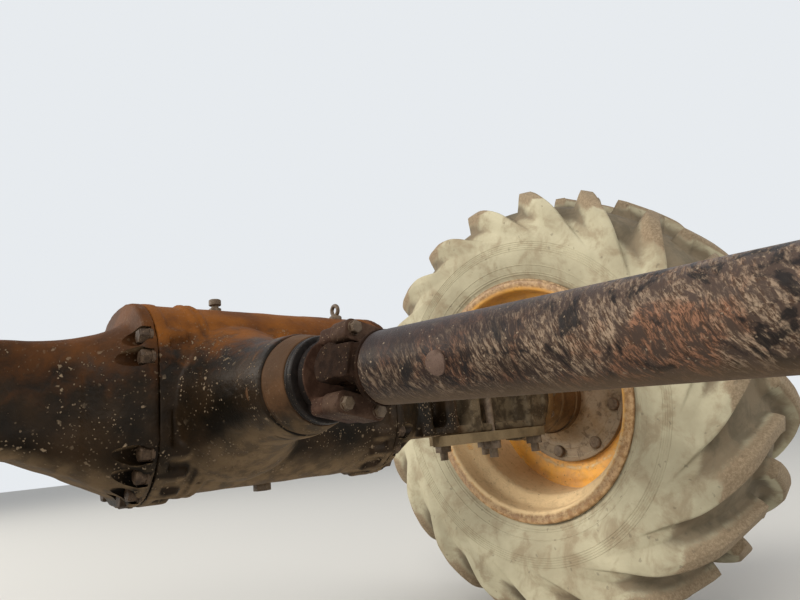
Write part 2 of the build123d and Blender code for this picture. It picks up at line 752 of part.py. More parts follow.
with BuildPart() as slip_yoke:
    add(ears_on(drive_centre, -shaft_dir, level, yoke_root).part)
    with BuildSketch(square_to_shaft(sleeve_root)):
        Circle(tube_r)
    extrude(amount=tube_start - yoke_root)
    with BuildSketch(square_to_shaft(sleeve_mouth)):
        Circle(sleeve_r)
    extrude(amount=sleeve_length)
    with BuildSketch(square_to_shaft(sleeve_mouth)):
        Circle(stub_r + running_fit)
    extrude(amount=sleeve_length - sleeve_floor, mode=Mode.SUBTRACT)
finish(slip_yoke, "slip_yoke")

with BuildPart() as dust_cap:
    with BuildSketch(square_to_shaft(sleeve_mouth - dust_cap_lip)):
        Circle(dust_cap_r)
        Circle(stub_r + 1, mode=Mode.SUBTRACT)
    extrude(amount=dust_cap_lip)
    with BuildSketch(square_to_shaft(sleeve_mouth)):
        Circle(dust_cap_r)
        Circle(sleeve_r, mode=Mode.SUBTRACT)
    extrude(amount=dust_cap_length)
finish(dust_cap, "dust_cap")

cross_drive_end = cross_of(drive_centre, shaft_dir, drive_upright, cap_r, ear_outer - 2)
finish(cross_drive_end, "cross_drive_end")

# Drive flange: upright ears on a round flange with eight bolt holes
with BuildPart() as drive_flange:
    add(ears_on(drive_centre, drive_dir, drive_upright, drive_reach).part)
    with BuildSketch(square_to_drive(drive_reach)):
        Circle(drive_flange_r)
        with PolarLocations(drive_bolt_circle / 2, drive_bolt_count, start_angle=22.5):
            Circle(drive_bolt_r, mode=Mode.SUBTRACT)
    extrude(amount=drive_flange_thick)
finish(drive_flange, "drive_flange")
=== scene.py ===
import math
import bmesh
import bpy
import numpy as np
from mathutils import Matrix, Vector, noise


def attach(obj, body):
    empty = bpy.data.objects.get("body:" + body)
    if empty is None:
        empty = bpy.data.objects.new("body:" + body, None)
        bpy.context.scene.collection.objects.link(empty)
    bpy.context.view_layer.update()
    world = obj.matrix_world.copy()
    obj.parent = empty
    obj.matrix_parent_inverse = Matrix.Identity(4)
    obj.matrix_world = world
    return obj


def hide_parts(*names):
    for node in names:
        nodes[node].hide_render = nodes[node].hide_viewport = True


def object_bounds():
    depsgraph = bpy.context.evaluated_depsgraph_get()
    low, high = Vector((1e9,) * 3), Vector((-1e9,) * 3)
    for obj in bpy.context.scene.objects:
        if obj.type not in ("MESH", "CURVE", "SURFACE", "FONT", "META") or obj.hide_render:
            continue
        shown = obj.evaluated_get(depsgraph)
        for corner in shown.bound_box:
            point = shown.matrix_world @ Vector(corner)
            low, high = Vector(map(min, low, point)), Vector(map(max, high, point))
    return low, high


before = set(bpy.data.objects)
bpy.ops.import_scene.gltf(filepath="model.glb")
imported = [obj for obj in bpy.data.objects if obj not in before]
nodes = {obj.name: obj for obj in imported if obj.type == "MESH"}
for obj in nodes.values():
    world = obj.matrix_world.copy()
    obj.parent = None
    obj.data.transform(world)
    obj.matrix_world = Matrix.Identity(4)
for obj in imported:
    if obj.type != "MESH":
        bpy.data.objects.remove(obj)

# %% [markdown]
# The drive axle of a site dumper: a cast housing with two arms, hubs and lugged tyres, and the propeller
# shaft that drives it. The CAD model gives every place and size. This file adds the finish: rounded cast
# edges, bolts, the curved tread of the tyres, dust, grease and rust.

cad_low, cad_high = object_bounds()
bpy.context.scene.view_settings.view_transform = "Standard"
print("frame loaded:", len(nodes), "nodes, from", cad_low[:], "to", cad_high[:])

# %% [markdown]
# Sizes that several pieces share, in metres. They are the CAD model's own values. X runs along the propeller
# shaft, Y along the axle and Z up, and the origin is the middle of the frame seat above the wheel axis.

# %% Shared sizes
axle_z = -0.130
half_track = 1.058
joint_faces = {"right": -0.140, "left": 0.320}
pinion_centre = Vector((0.0, 0.0, -0.120))
joint_centre = Vector((0.424, 0.0, -0.120))
shaft_pitch = math.radians(3.7)
joint_phase = math.radians(13.0)
shaft_dir = Vector((math.cos(shaft_pitch), 0.0, -math.sin(shaft_pitch)))
upright = Vector((0.0, math.sin(joint_phase), math.cos(joint_phase)))
level = upright.cross(shaft_dir).normalized()
sides = (("left", 1), ("right", -1))
at_origin = Matrix.Identity(4)


def placed(origin, along, up):
    """Matrix that puts local Z on along, local Y near up and the local origin on origin."""
    z = Vector(along).normalized()
    x = Vector(up).cross(z).normalized()
    y = z.cross(x)
    matrix = Matrix((x, y, z)).transposed().to_4x4()
    matrix.translation = Vector(origin)
    return matrix


def on_axis(y, way):
    """Place on the wheels' axis at y, where local Z points left if way is 1 and right if it is -1."""
    return placed((0, y, axle_z), (0, way, 0), (0, 0, 1))


def linked(name, data):
    """Object of some data in the scene."""
    made = bpy.data.objects.new(name, data)
    bpy.context.scene.collection.objects.link(made)
    return made


print("the joint at the axle end is at", joint_centre[:], "and its shaft points to", shaft_dir[:])

# %% [markdown]
# The camera stands low beside the shaft, about half a metre above the floor, and looks up and across at the
# left wheel. Its place and angles come from matching the rim, the studs and the shaft's edges.

# %% Camera
focal_pixels = 600.0
frame_pixels = 800.0
camera_yaw = math.radians(42.774)
camera_pitch = math.radians(13.187)
camera_roll = math.radians(-5.997)
camera_place = Vector((1.02636, -0.47112, -0.21173))
camera_data = bpy.data.cameras.new("camera")
camera_data.sensor_width = 36.0
camera_data.lens = focal_pixels / frame_pixels * camera_data.sensor_width
camera_data.clip_start = 0.01
camera = linked("camera", camera_data)
forward = Vector((
    -math.cos(camera_yaw) * math.cos(camera_pitch),
    math.sin(camera_yaw) * math.cos(camera_pitch),
    math.sin(camera_pitch),
))
flat_right = forward.cross(Vector((0, 0, 1))).normalized()
flat_up = flat_right.cross(forward)
right = math.cos(camera_roll) * flat_right + math.sin(camera_roll) * flat_up
up = -math.sin(camera_roll) * flat_right + math.cos(camera_roll) * flat_up
turned_as_seen = Matrix((right, up, -forward)).transposed().to_4x4()
camera.matrix_world = Matrix.Translation(camera_place) @ turned_as_seen
bpy.context.scene.camera = camera
print("camera at", camera_place[:], "with a lens of", camera_data.lens, "mm")

# %% [markdown]
# Node trees make the sky, the finishes and the repeated pieces. Two helpers keep them short: one feeds a
# socket with a value or with the output of another node, the other adds a node with all that it is fed.


# %% Helpers for node trees
def feed(tree, socket, value):
    """Sets a socket, or links it to an output. A node stands for its first output."""
    if isinstance(value, bpy.types.Node):
        value = value.outputs[0]
    if isinstance(value, bpy.types.NodeSocket):
        tree.links.new(value, socket)
    elif socket.type == "RGBA":
        socket.default_value = (*value, 1)
    else:
        socket.default_value = value


def add_node(tree, kind, feeds=(), **settings):
    """Adds a node with its settings. What it is fed is given by the name or number of each input."""
    node = tree.nodes.new(kind)
    for name, value in settings.items():
        setattr(node, name, value)
    for key, value in dict(feeds).items():
        feed(tree, node.inputs[key], value)
    return node


# %% [markdown]
# A pale floor under the tyres, an even pale sky, and three large soft lamps. The lamps are soft because the
# piece is mostly in open shade. The camera and mirroring surfaces see a plain pale backdrop, while the light
# comes from a dimmer sky, so that the floor keeps the shadow.

# %% Floor and light
floor_size = 40.0
floor_corners = [(x * floor_size, y * floor_size, cad_low[2]) for x, y in ((-1, -1), (1, -1), (1, 1), (-1, 1))]
floor_mesh = bpy.data.meshes.new("floor")
floor_mesh.from_pydata(floor_corners, [], [(0, 1, 2, 3)])
floor_paint = bpy.data.materials.new("floor")
floor_paint.use_nodes = True
floor_shader = floor_paint.node_tree.nodes["Principled BSDF"]
floor_shader.inputs["Base Color"].default_value = (0.66, 0.645, 0.61, 1)
floor_shader.inputs["Roughness"].default_value = 0.9
floor_mesh.materials.append(floor_paint)
floor = linked("floor", floor_mesh)

world = bpy.data.worlds.new("sky")
bpy.context.scene.world = world
world.use_nodes = True
sky_tree = world.node_tree
sky = sky_tree.nodes["Background"]
sky.inputs["Color"].default_value = (0.93, 0.96, 1.0, 1)
sky.inputs["Strength"].default_value = 0.50
backdrop = add_node(sky_tree, "ShaderNodeBackground", {"Color": (0.80, 0.83, 0.86)})
rays = add_node(sky_tree, "ShaderNodeLightPath")
seen_or_mirrored = add_node(
    sky_tree, "ShaderNodeMath", {0: rays.outputs["Is Camera Ray"], 1: rays.outputs["Is Glossy Ray"]},
    operation="ADD",
)
shown = add_node(
    sky_tree, "ShaderNodeMath", {0: seen_or_mirrored, 1: rays.outputs["Is Transmission Ray"]},
    operation="ADD", use_clamp=True,
)
choose = add_node(sky_tree, "ShaderNodeMixShader", {0: shown, 1: sky, 2: backdrop})
feed(sky_tree, sky_tree.nodes["World Output"].inputs["Surface"], choose)

# Columns: place, target, diameter, power and colour
lamps = {
    "key_lamp": ((4.0, -7.0, 6.0), (0.1, 0.1, -0.15), 6.0, 640.0, (1.0, 0.96, 0.90)),
    "side_lamp": ((-7.5, -7.8, 4.0), (0.0, 0.7, -0.20), 6.5, 1150.0, (1.0, 0.96, 0.88)),
    "low_lamp": ((9.0, 4.5, 2.6), (0.3, 0.6, -0.2), 6.5, 250.0, (1.0, 0.94, 0.86)),
}
for lamp_name, (place, target, diameter, power, colour) in lamps.items():
    lamp_data = bpy.data.lights.new(lamp_name, "AREA")
    lamp_data.shape = "DISK"
    lamp_data.size = diameter
    lamp_data.energy = power
    lamp_data.color = colour
    lamp = linked(lamp_name, lamp_data)
    lamp.location = place
    lamp.rotation_euler = (Vector(target) - Vector(place)).to_track_quat("-Z", "Y").to_euler()
print("lamps:", *lamps)

# %% [markdown]
# A finish is a small tree of nodes: some noise chooses between layers of paint, grease, rust and dust, and the
# same noise drives roughness and bump. This class keeps each tree short. Patterns are placed by Object
# coordinates, so they stay on the piece when it turns.


# %% Helper for finishes
class Finish:
    """A material in the making. Each method adds nodes and returns an output."""

    def __init__(self, name):
        self.material = bpy.data.materials.new(name)
        self.material.use_nodes = True
        self.tree = self.material.node_tree
        self.coordinates = self.add("ShaderNodeTexCoord")
        self.place = self.coordinates.outputs["Object"]

    def add(self, kind, feeds=(), **settings):
        return add_node(self.tree, kind, feeds, **settings)

    def part(self, vector, axis):
        return self.add("ShaderNodeSeparateXYZ", {0: vector}).outputs[axis]

    def facing_up(self):
        """1 where the surface faces up, -1 where it faces down."""
        return self.part(self.coordinates.outputs["Normal"], 2)

    def math(self, operation, *values):
        return self.add("ShaderNodeMath", enumerate(values), operation=operation).outputs[0]

    def times(self, first, second, plus=0.0):
        return self.math("MULTIPLY_ADD", first, second, plus)

    def larger(self, first, second):
        return self.math("MAXIMUM", first, second)

    def shaken(self, value, grain, amount):
        """A value pushed up and down by noise."""
        return self.times(self.math("SUBTRACT", grain, 0.5), amount, plus=value)

    def ease(self, value, low, high, start=0.0, end=1.0):
        """Goes smoothly from start to end as a value goes from low to high."""
        numbers = enumerate((value, low, high, start, end))
        return self.add("ShaderNodeMapRange", numbers, interpolation_type="SMOOTHSTEP").outputs[0]

    def mix(self, share, first, second):
        return self.add("ShaderNodeMix", {0: share, 6: first, 7: second}, data_type="RGBA").outputs[2]

    def moved(self, centre=(0, 0, 0), turn=(0, 0, 0), stretch=(1, 1, 1), vector=None):
        """Coordinates with their origin at centre, turned and stretched with the piece."""
        feeds = {"Vector": vector or self.place, "Location": tuple(centre), "Rotation": turn, "Scale": stretch}
        return self.add("ShaderNodeMapping", feeds, vector_type="TEXTURE").outputs[0]

    def noise(self, scale, detail=4.0, rough=0.55, vector=None, bend=0.0):
        return self.add("ShaderNodeTexNoise", {
            "Vector": vector or self.place, "Scale": scale, "Detail": detail, "Roughness": rough,
            "Distortion": bend,
        }).outputs[0]

    def wobbled(self, scale, amount, vector=None):
        """Coordinates pushed about by noise, which makes round marks ragged."""
        vector = vector or self.place
        push = self.add("ShaderNodeTexNoise", {"Vector": vector, "Scale": scale}).outputs["Color"]
        centred = self.add("ShaderNodeVectorMath", {0: push, 1: (0.5, 0.5, 0.5)}, operation="SUBTRACT")
        feeds = {0: centred, 1: (amount, amount, amount), 2: vector}
        return self.add("ShaderNodeVectorMath", feeds, operation="MULTIPLY_ADD").outputs[0]

    def specks(self, scale, share, vector=None, size=0.30):
        """Small ragged spots, on a share of many scattered points."""
        ragged = self.wobbled(scale * 1.6, 0.9 / scale, vector)
        points = self.add("ShaderNodeTexVoronoi", {"Vector": ragged, "Scale": scale})
        lot = self.part(points.outputs["Color"], 0)
        spot = self.ease(points.outputs["Distance"], size, size * 0.6)
        return self.times(spot, self.ease(lot, 1.0 - share, 1.0 - share * 0.8))

    def done(self, colour, roughness, height, depth, metal=0.0, gloss=0.5):
        """Gives the shader its looks, with a bump as deep as depth, and returns the material."""
        bump = self.add("ShaderNodeBump", {"Strength": 1.0, "Distance": depth, "Height": height})
        shader = self.tree.nodes["Principled BSDF"]
        for label, value in (("Base Color", colour), ("Specular IOR Level", gloss), ("Roughness", roughness),
                             ("Metallic", metal), ("Normal", bump)):
            feed(self.tree, shader.inputs[label], value)
        return self.material


# %% [markdown]
# The housing and its nose keep old orange-brown paint on top. Below, oil has drawn in dirt until the casting
# is nearly black, and splashed mud has dried on it in pale specks. A height, made uneven by noise, parts the
# two. Surfaces that face down are painted tan, which is dust and also painted sunlight from the low sun, and
# the arms are dry where they reach far outwards.


# %% Cast iron
def casting_finish(name, paint, paint_dark, grease_top, grease_bottom, speck_share, dust_and_sunlight_share, dry_from):
    finish = Finish(name)
    patches = finish.noise(9.0, 5.0)
    fine = finish.noise(140.0, 5.0, 0.65)
    coarse = finish.noise(38.0, 4.0, 0.6, bend=0.4)
    painted = finish.mix(finish.ease(patches, 0.38, 0.62), paint_dark, paint)
    painted = finish.mix(finish.ease(fine, 0.55, 0.72, 0.0, 0.35), painted, (0.05, 0.022, 0.008))
    uneven = finish.shaken(finish.part(finish.place, 2), coarse, 0.16)
    greased = finish.ease(uneven, grease_top, grease_bottom)
    outwards = finish.math("ABSOLUTE", finish.part(finish.place, 1))
    dry = finish.ease(outwards, dry_from, dry_from + 0.06)
    greased = finish.times(greased, finish.ease(dry, 0.0, 1.0, 1.0, 0.15))
    oil = finish.mix(finish.ease(patches, 0.35, 0.7), (0.006, 0.004, 0.002), (0.036, 0.020, 0.009))
    dried = finish.mix(finish.ease(coarse, 0.4, 0.6), (0.050, 0.035, 0.020), (0.120, 0.088, 0.052))
    colour = finish.mix(greased, finish.mix(dry, painted, dried), oil)
    small = finish.specks(210.0, speck_share, size=0.34)
    large = finish.specks(85.0, speck_share * 0.5, size=0.30)
    clouded = finish.ease(finish.noise(16.0, 3.0), 0.41, 0.57)
    spots = finish.times(finish.larger(small, large), clouded)
    spots = finish.times(spots, finish.ease(greased, 0.0, 0.7, 0.15, 1.0))
    colour = finish.mix(spots, colour, (0.27, 0.20, 0.13))
    # Surfaces facing down are painted tan: dust, and painted sunlight where the low sun lights the undersides
    dust_and_sunlight_below = finish.ease(finish.facing_up(), -0.45, -0.95)
    dust_and_sunlight_below = finish.times(dust_and_sunlight_below, finish.ease(coarse, 0.35, 0.6, 0.45, 1.0))
    colour = finish.mix(finish.times(dust_and_sunlight_below, dust_and_sunlight_share), colour, (0.22, 0.15, 0.085))
    roughness = finish.ease(greased, 0.0, 1.0, 0.68, 0.46)
    roughness = finish.ease(finish.larger(spots, dust_and_sunlight_below), 0.0, 1.0, roughness, 0.9)
    bumps = finish.times(spots, 0.8, plus=finish.times(fine, 0.35, plus=coarse))
    return finish.done(colour, roughness, bumps, 0.0022, gloss=0.12)


# A distance past the whole object: what starts there never shows
beyond = 9.0
# Columns: paint, darker paint, the heights where grease starts and is full, the shares of specks and of the
# tan underneath, which is dust and painted sunlight, and the distance from the axle's middle from which the
# casting is dry
castings = {
    "housing_casting": ((0.190, 0.063, 0.008), (0.105, 0.034, 0.006), 0.020, -0.085, 0.46, 0.9, beyond),
    "nose_casting": ((0.115, 0.058, 0.027), (0.066, 0.034, 0.016), -0.115, -0.21, 0.45, 0.5, beyond),
    "arm_casting": ((0.105, 0.036, 0.007), (0.055, 0.020, 0.005), -0.005, -0.120, 0.42, 1.0, 0.50),
    "seat_casting": ((0.200, 0.145, 0.080), (0.110, 0.078, 0.042), -0.60, -0.90, 0.18, 0.6, beyond),
    "brake_casting": ((0.170, 0.095, 0.036), (0.095, 0.050, 0.020), -0.12, -0.30, 0.20, 0.6, beyond),
}
finishes = {name: casting_finish(name, *row) for name, row in castings.items()}
print("castings:", *castings)

# %% [markdown]
# Steel: bare forged steel of the joints goes rust brown, bolts are dull plated steel with rust in the corners,
# and the sliding spline is bare and greased. The back of the pinion's flange is oily.


# %% Steels
def steel_finish(name, base, rust, dust, rough_low, rough_high, scale, gloss, metal=0.0, oily_to=None):
    finish = Finish(name)
    patches = finish.noise(scale, 5.0, 0.6)
    grain = finish.noise(scale * 9, 4.0, 0.7)
    colour = finish.mix(finish.ease(patches, 0.40, 0.62), base, rust)
    colour = finish.mix(finish.ease(grain, 0.52, 0.75, 0.0, 0.6), colour, dust)
    dusty = finish.specks(scale * 5, 0.22)
    colour = finish.mix(dusty, colour, (0.26, 0.18, 0.11))
    if oily_to is not None:
        behind = finish.times(patches, 0.004, plus=finish.part(finish.place, 0))
        oily = finish.ease(behind, oily_to + 0.003, oily_to + 0.001)
        colour = finish.mix(oily, colour, finish.mix(dusty, (0.008, 0.005, 0.004), (0.10, 0.065, 0.04)))
    roughness = finish.ease(grain, 0.3, 0.7, rough_low, rough_high)
    bumps = finish.times(dusty, 0.5, plus=finish.times(grain, 0.4, plus=patches))
    return finish.done(colour, roughness, bumps, 0.0008, metal, gloss)


# Columns: base, rust and dust, lowest and highest roughness, scale of the patches, gloss, and for a few the
# metal share and the place along X up to which it is oily
steels = {
    "rusty_steel": ((0.044, 0.021, 0.012), (0.080, 0.042, 0.026), (0.020, 0.010, 0.006), 0.6, 0.85, 60.0, 0.2),
    "flange_steel": ((0.044, 0.021, 0.013), (0.075, 0.039, 0.025), (0.020, 0.010, 0.006), 0.6, 0.85, 60.0, 0.1,
                     0.0, 0.3765),
    "block_steel": ((0.052, 0.028, 0.018), (0.088, 0.052, 0.034), (0.026, 0.013, 0.008), 0.6, 0.85, 60.0, 0.1),
    "weight_steel": ((0.150, 0.098, 0.075), (0.095, 0.058, 0.042), (0.05, 0.03, 0.02), 0.6, 0.85, 60.0, 0.2),
    "yoke_steel": ((0.015, 0.008, 0.005), (0.030, 0.016, 0.010), (0.010, 0.006, 0.004), 0.6, 0.85, 60.0, 0.04),
    "bolt_steel": ((0.090, 0.060, 0.037), (0.140, 0.100, 0.064), (0.040, 0.024, 0.014), 0.45, 0.7, 90.0, 0.3),
    "greasy_bolt_steel": ((0.045, 0.028, 0.017), (0.090, 0.058, 0.036), (0.018, 0.011, 0.007), 0.5, 0.8,
                          90.0, 0.2),
    "spline_steel": ((0.24, 0.22, 0.19), (0.12, 0.10, 0.08), (0.05, 0.04, 0.03), 0.25, 0.45, 60.0, 0.5, 0.8),
    "black_seal": ((0.006, 0.004, 0.003), (0.012, 0.008, 0.006), (0.030, 0.018, 0.012), 0.35, 0.6, 120.0, 0.2),
}
finishes.update({name: steel_finish(name, *row) for name, row in steels.items()})
print("steels:", *steels)

# %% [markdown]
# The tube of the shaft was black. Stones and mud have brushed it as it turned, so its rust runs round it in
# short streaks. Noise squeezed along the shaft, on coordinates turned a little about Y, gives streaks that lie
# at a slant round the tube. They grow stronger towards the far end and on the lower half. A painted sheen
# lightens the top of the tube and its far end, and the underside is painted tan, which is dust and also
# painted sunlight from the low sun.


# %% Shaft paint
def shaft_finish():
    finish = Finish("shaft_paint")
    along = finish.moved(centre=joint_centre, turn=(0, shaft_pitch, 0))
    slanted = finish.moved(turn=(0, math.radians(-27), 0), vector=finish.wobbled(9.0, 0.03, along))
    streaks = finish.noise(50.0, 6.0, 0.72, finish.moved(stretch=(0.30, 0.95, 0.80), vector=slanted), 0.5)
    hairs = finish.noise(125.0, 5.0, 0.74, finish.moved(stretch=(0.24, 1.0, 0.90), vector=slanted), 0.4)
    clouds = finish.noise(8.0, 5.0, 0.6, along, 0.6)
    blots = finish.noise(30.0, 5.0, 0.62, finish.moved(stretch=(0.55, 1.0, 1.0), vector=slanted), 0.6)
    facing = finish.facing_up()
    far_along = finish.ease(finish.part(along, 0), 0.06, 0.50)
    brushed = finish.times(finish.ease(facing, 0.75, -0.35), 0.65, plus=finish.times(far_along, 0.75))
    brushed = finish.times(brushed, finish.ease(clouds, 0.30, 0.62, 0.45, 1.0))
    paint = finish.mix(finish.ease(clouds, 0.35, 0.65), (0.019, 0.012, 0.009), (0.036, 0.022, 0.018))
    # The top of the tube is painted lighter: a painted sheen
    paint = finish.mix(finish.ease(facing, 0.2, 0.9, 0.0, 0.6), paint, (0.040, 0.027, 0.025))
    # The far end is painted lighter: a painted sheen
    paint = finish.mix(finish.ease(far_along, 0.3, 1.0, 0.0, 0.7), paint, (0.088, 0.060, 0.046))
    reddish = finish.ease(finish.noise(15.0, 4.0, 0.6, along, 0.5), 0.50, 0.62)
    warm = finish.mix(reddish, (0.360, 0.265, 0.185), (0.300, 0.150, 0.090))
    rust = finish.mix(finish.ease(hairs, 0.42, 0.58), (0.072, 0.042, 0.027), warm)
    rust_share = finish.times(finish.ease(streaks, 0.42, 0.58), brushed)
    colour = finish.mix(rust_share, paint, rust)
    black = finish.times(finish.ease(blots, 0.53, 0.63), finish.ease(brushed, 0.1, 0.6, 0.2, 0.9))
    colour = finish.mix(black, colour, (0.014, 0.012, 0.012))
    chips = finish.times(finish.ease(hairs, 0.60, 0.70), finish.ease(brushed, 0.15, 0.7))
    colour = finish.mix(finish.times(chips, 0.85), colour, (0.30, 0.22, 0.15))
    dust = finish.specks(230.0, 0.14, along, size=0.26)
    colour = finish.mix(finish.times(dust, 0.8), colour, (0.34, 0.26, 0.18))
    # The underside is painted tan: dust, and painted sunlight where the low sun lights the tube's bottom edge
    dust_and_sunlight_below = finish.ease(facing, -0.62, -0.97, 0.0, 0.85)
    colour = finish.mix(dust_and_sunlight_below, colour, (0.130, 0.085, 0.050))
    roughness = finish.ease(finish.larger(rust_share, dust_and_sunlight_below), 0.0, 1.0, 0.42, 0.70)
    return finish.done(colour, roughness, finish.times(hairs, 0.5, plus=streaks), 0.0008, gloss=0.12)


finishes["shaft_paint"] = shaft_finish()
print("the shaft's paint is ready")

# %% [markdown]
# The rims are sprayed orange. Sand lies on whatever faces up inside them and a film of dust covers the rest.
# The hubs are painted brown-grey with dust, and the tyres are olive-grey with dust, with shade painted dark
# between the lugs.


# %% Rim and hub
def dusty_paint(name, paint, worn, dust, film, lying, soil, scoured_from):
    finish = Finish(name)
    across = finish.part(finish.place, 0)
    above_axis = finish.math("SUBTRACT", finish.part(finish.place, 2), axle_z)
    from_axis = finish.math("SQRT", finish.times(above_axis, above_axis, plus=finish.times(across, across)))
    patches = finish.noise(12.0, 5.0, 0.6)
    grain = finish.noise(160.0, 5.0, 0.7)
    gritty = finish.noise(60.0, 6.0, 0.75)
    colour = finish.mix(finish.ease(patches, 0.40, 0.66), paint, worn)
    haze = finish.ease(finish.times(grain, 0.35, plus=patches), 0.48, 0.80, 0.1, film)
    colour = finish.mix(haze, colour, dust)
    settled = finish.ease(finish.shaken(finish.facing_up(), gritty, 1.1), 0.02, 0.36, 0.0, lying)
    colour = finish.mix(settled, colour, dust)
    bare = finish.mix(finish.ease(gritty, 0.40, 0.62), (0.150, 0.085, 0.045), (0.400, 0.270, 0.150))
    scoured = finish.ease(from_axis, scoured_from, scoured_from + 0.012, 0.0, 0.85)
    colour = finish.mix(scoured, colour, bare)
    mottled = finish.noise(42.0, 5.0, 0.7, bend=0.6)
    colour = finish.mix(finish.ease(mottled, 0.50, 0.64, 0.0, soil), colour, (0.065, 0.040, 0.022))
    scratches = finish.specks(120.0, 0.10)
    colour = finish.mix(finish.times(scratches, 0.6), colour, (0.12, 0.05, 0.02))
    roughness = finish.ease(finish.larger(settled, haze), 0.0, 1.0, 0.38, 0.9)
    bumps = finish.times(settled, gritty, plus=finish.times(grain, 0.15))
    return finish.done(colour, roughness, bumps, 0.003, gloss=0.35)


# Columns: paint, worn paint, dust, its film and how much lies on top, soil, and the radius from which the
# paint is scoured off
dusty_paints = {
    "rim_paint": ((0.80, 0.37, 0.030), (0.60, 0.24, 0.024), (0.68, 0.50, 0.280), 0.30, 0.97, 0.16, 0.300),
    "hub_casting": ((0.17, 0.105, 0.050), (0.085, 0.052, 0.027), (0.33, 0.26, 0.175), 0.6, 0.85, 0.7, beyond),
}
finishes.update({name: dusty_paint(name, *row) for name, row in dusty_paints.items()})
print("dusty paints:", *dusty_paints)


# %% Tyre rubber
def rubber_finish():
    finish = Finish("tyre_rubber")
    clouds = finish.noise(5.0, 5.0, 0.6)
    stains = finish.noise(14.0, 6.0, 0.65, bend=0.5)
    grain = finish.noise(220.0, 4.0, 0.7)
    scuffs = finish.noise(170.0, 5.0, 0.75)
    tops = finish.add("ShaderNodeAttribute", attribute_name="lug_top").outputs["Fac"]
    gap_shade = finish.add("ShaderNodeAttribute", attribute_name="lug_gap").outputs["Fac"]
    side = finish.mix(finish.ease(clouds, 0.35, 0.65), (0.350, 0.312, 0.212), (0.470, 0.430, 0.300))
    side = finish.mix(finish.ease(stains, 0.44, 0.66, 0.0, 0.62), side, (0.225, 0.165, 0.098))
    # The gaps between the lugs are painted dark brown: painted shade
    rubber = finish.mix(finish.ease(stains, 0.4, 0.6), (0.085, 0.062, 0.038), (0.165, 0.125, 0.080))
    colour = finish.mix(finish.ease(finish.shaken(gap_shade, stains, 0.9), 0.25, 0.75, 0.0, 0.85), side, rubber)
    worn = finish.mix(finish.ease(scuffs, 0.36, 0.66), (0.185, 0.130, 0.078), (0.300, 0.225, 0.145))
    colour = finish.mix(finish.ease(finish.shaken(tops, scuffs, 0.7), 0.35, 0.65, 0.0, 0.9), colour, worn)
    dark = finish.specks(70.0, 0.12)
    colour = finish.mix(finish.times(dark, 0.4), colour, (0.10, 0.08, 0.055))
    roughness = finish.ease(grain, 0.3, 0.7, 0.78, 0.92)
    bumps = finish.times(grain, 0.35, plus=stains)
    bumps = finish.times(finish.times(scuffs, tops), 1.2, plus=bumps)
    return finish.done(colour, roughness, bumps, 0.0014, gloss=0.3)


finishes["tyre_rubber"] = rubber_finish()
print("rubber is ready, so there are", len(finishes), "finishes")

# %% [markdown]
# Four ways of making a piece serve this object. A lathe turns an outline about an axis. A cast piece takes the
# CAD solid, adds lumps where the foundry would leave them, and melts the whole to one skin with soft edges. A
# machined piece keeps the CAD solid and only breaks its sharp edges. What repeats comes from Geometry Nodes.


# %% Keeping a piece
def keep(name, mesh, finish, body, replaced=(), sharp=35.0):
    """Turns a finished mesh into a piece that rides on a body and takes its finish from a slot."""
    mesh.materials.clear()
    mesh.materials.append(finishes[finish])
    mesh.polygons.foreach_set("use_smooth", [True] * len(mesh.polygons))
    if sharp:
        mesh.set_sharp_from_angle(angle=math.radians(sharp))
    piece = linked(name, mesh)
    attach(piece, body)
    if replaced:
        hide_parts(*replaced)
    print(name, "has", sum(len(p.vertices) - 2 for p in mesh.polygons), "triangles")


def settled(source, name):
    """Plain mesh of an object with its modifiers, and the object is gone."""
    bpy.context.view_layer.update()
    mesh = bpy.data.meshes.new_from_object(source.evaluated_get(bpy.context.evaluated_depsgraph_get()))
    mesh.name = name
    old_mesh = source.data
    bpy.data.objects.remove(source)
    bpy.data.meshes.remove(old_mesh)
    return mesh


def mesh_of(shape, name):
    """Plain mesh of an editing mesh, which is gone afterwards."""
    mesh = bpy.data.meshes.new(name)
    shape.to_mesh(mesh)
    shape.free()
    return mesh


def joined(name, meshes):
    """One mesh of several."""
    shape = bmesh.new()
    for mesh in meshes:
        shape.from_mesh(mesh)
    return mesh_of(shape, name)


def skinned(name, rings, looped=True):
    """Mesh through rings of points, whose last ring joins the first, or else both are capped. A ring whose
    points are all the same is a pole."""
    shape = bmesh.new()
    made = []
    for ring in rings:
        if len(set(map(tuple, ring))) == 1:
            made.append([shape.verts.new(ring[0])] * len(ring))
        else:
            made.append([shape.verts.new(point) for point in ring])
    for first, second in zip(made, made[1:] + made[:looped]):
        for k in range(len(first)):
            m = (k + 1) % len(first)
            corners = list(dict.fromkeys((first[k], first[m], second[m], second[k])))
            if len(corners) > 2:
                shape.faces.new(corners)
    if not looped:
        shape.faces.new(made[0])
        shape.faces.new(made[-1])
    bmesh.ops.recalc_face_normals(shape, faces=shape.faces)
    return mesh_of(shape, name)


# %% Lathe
fillet_steps = 4


def rounded(outline):
    """Outline of (along, radius, fillet) as plain points, with an arc at each corner that has a fillet."""
    points = []
    for n, (along, radius, fillet) in enumerate(outline):
        here = Vector((along, radius))
        if not fillet:
            points.append(here)
            continue
        back = Vector(outline[n - 1][:2]) - here
        ahead = Vector(outline[(n + 1) % len(outline)][:2]) - here
        reach = min(fillet, back.length * 0.49, ahead.length * 0.49)
        start = here + back.normalized() * reach
        end = here + ahead.normalized() * reach
        for k in range(fillet_steps + 1):
            t = k / fillet_steps
            points.append((1 - t) ** 2 * start + 2 * t * (1 - t) * here + t * t * end)
    return points


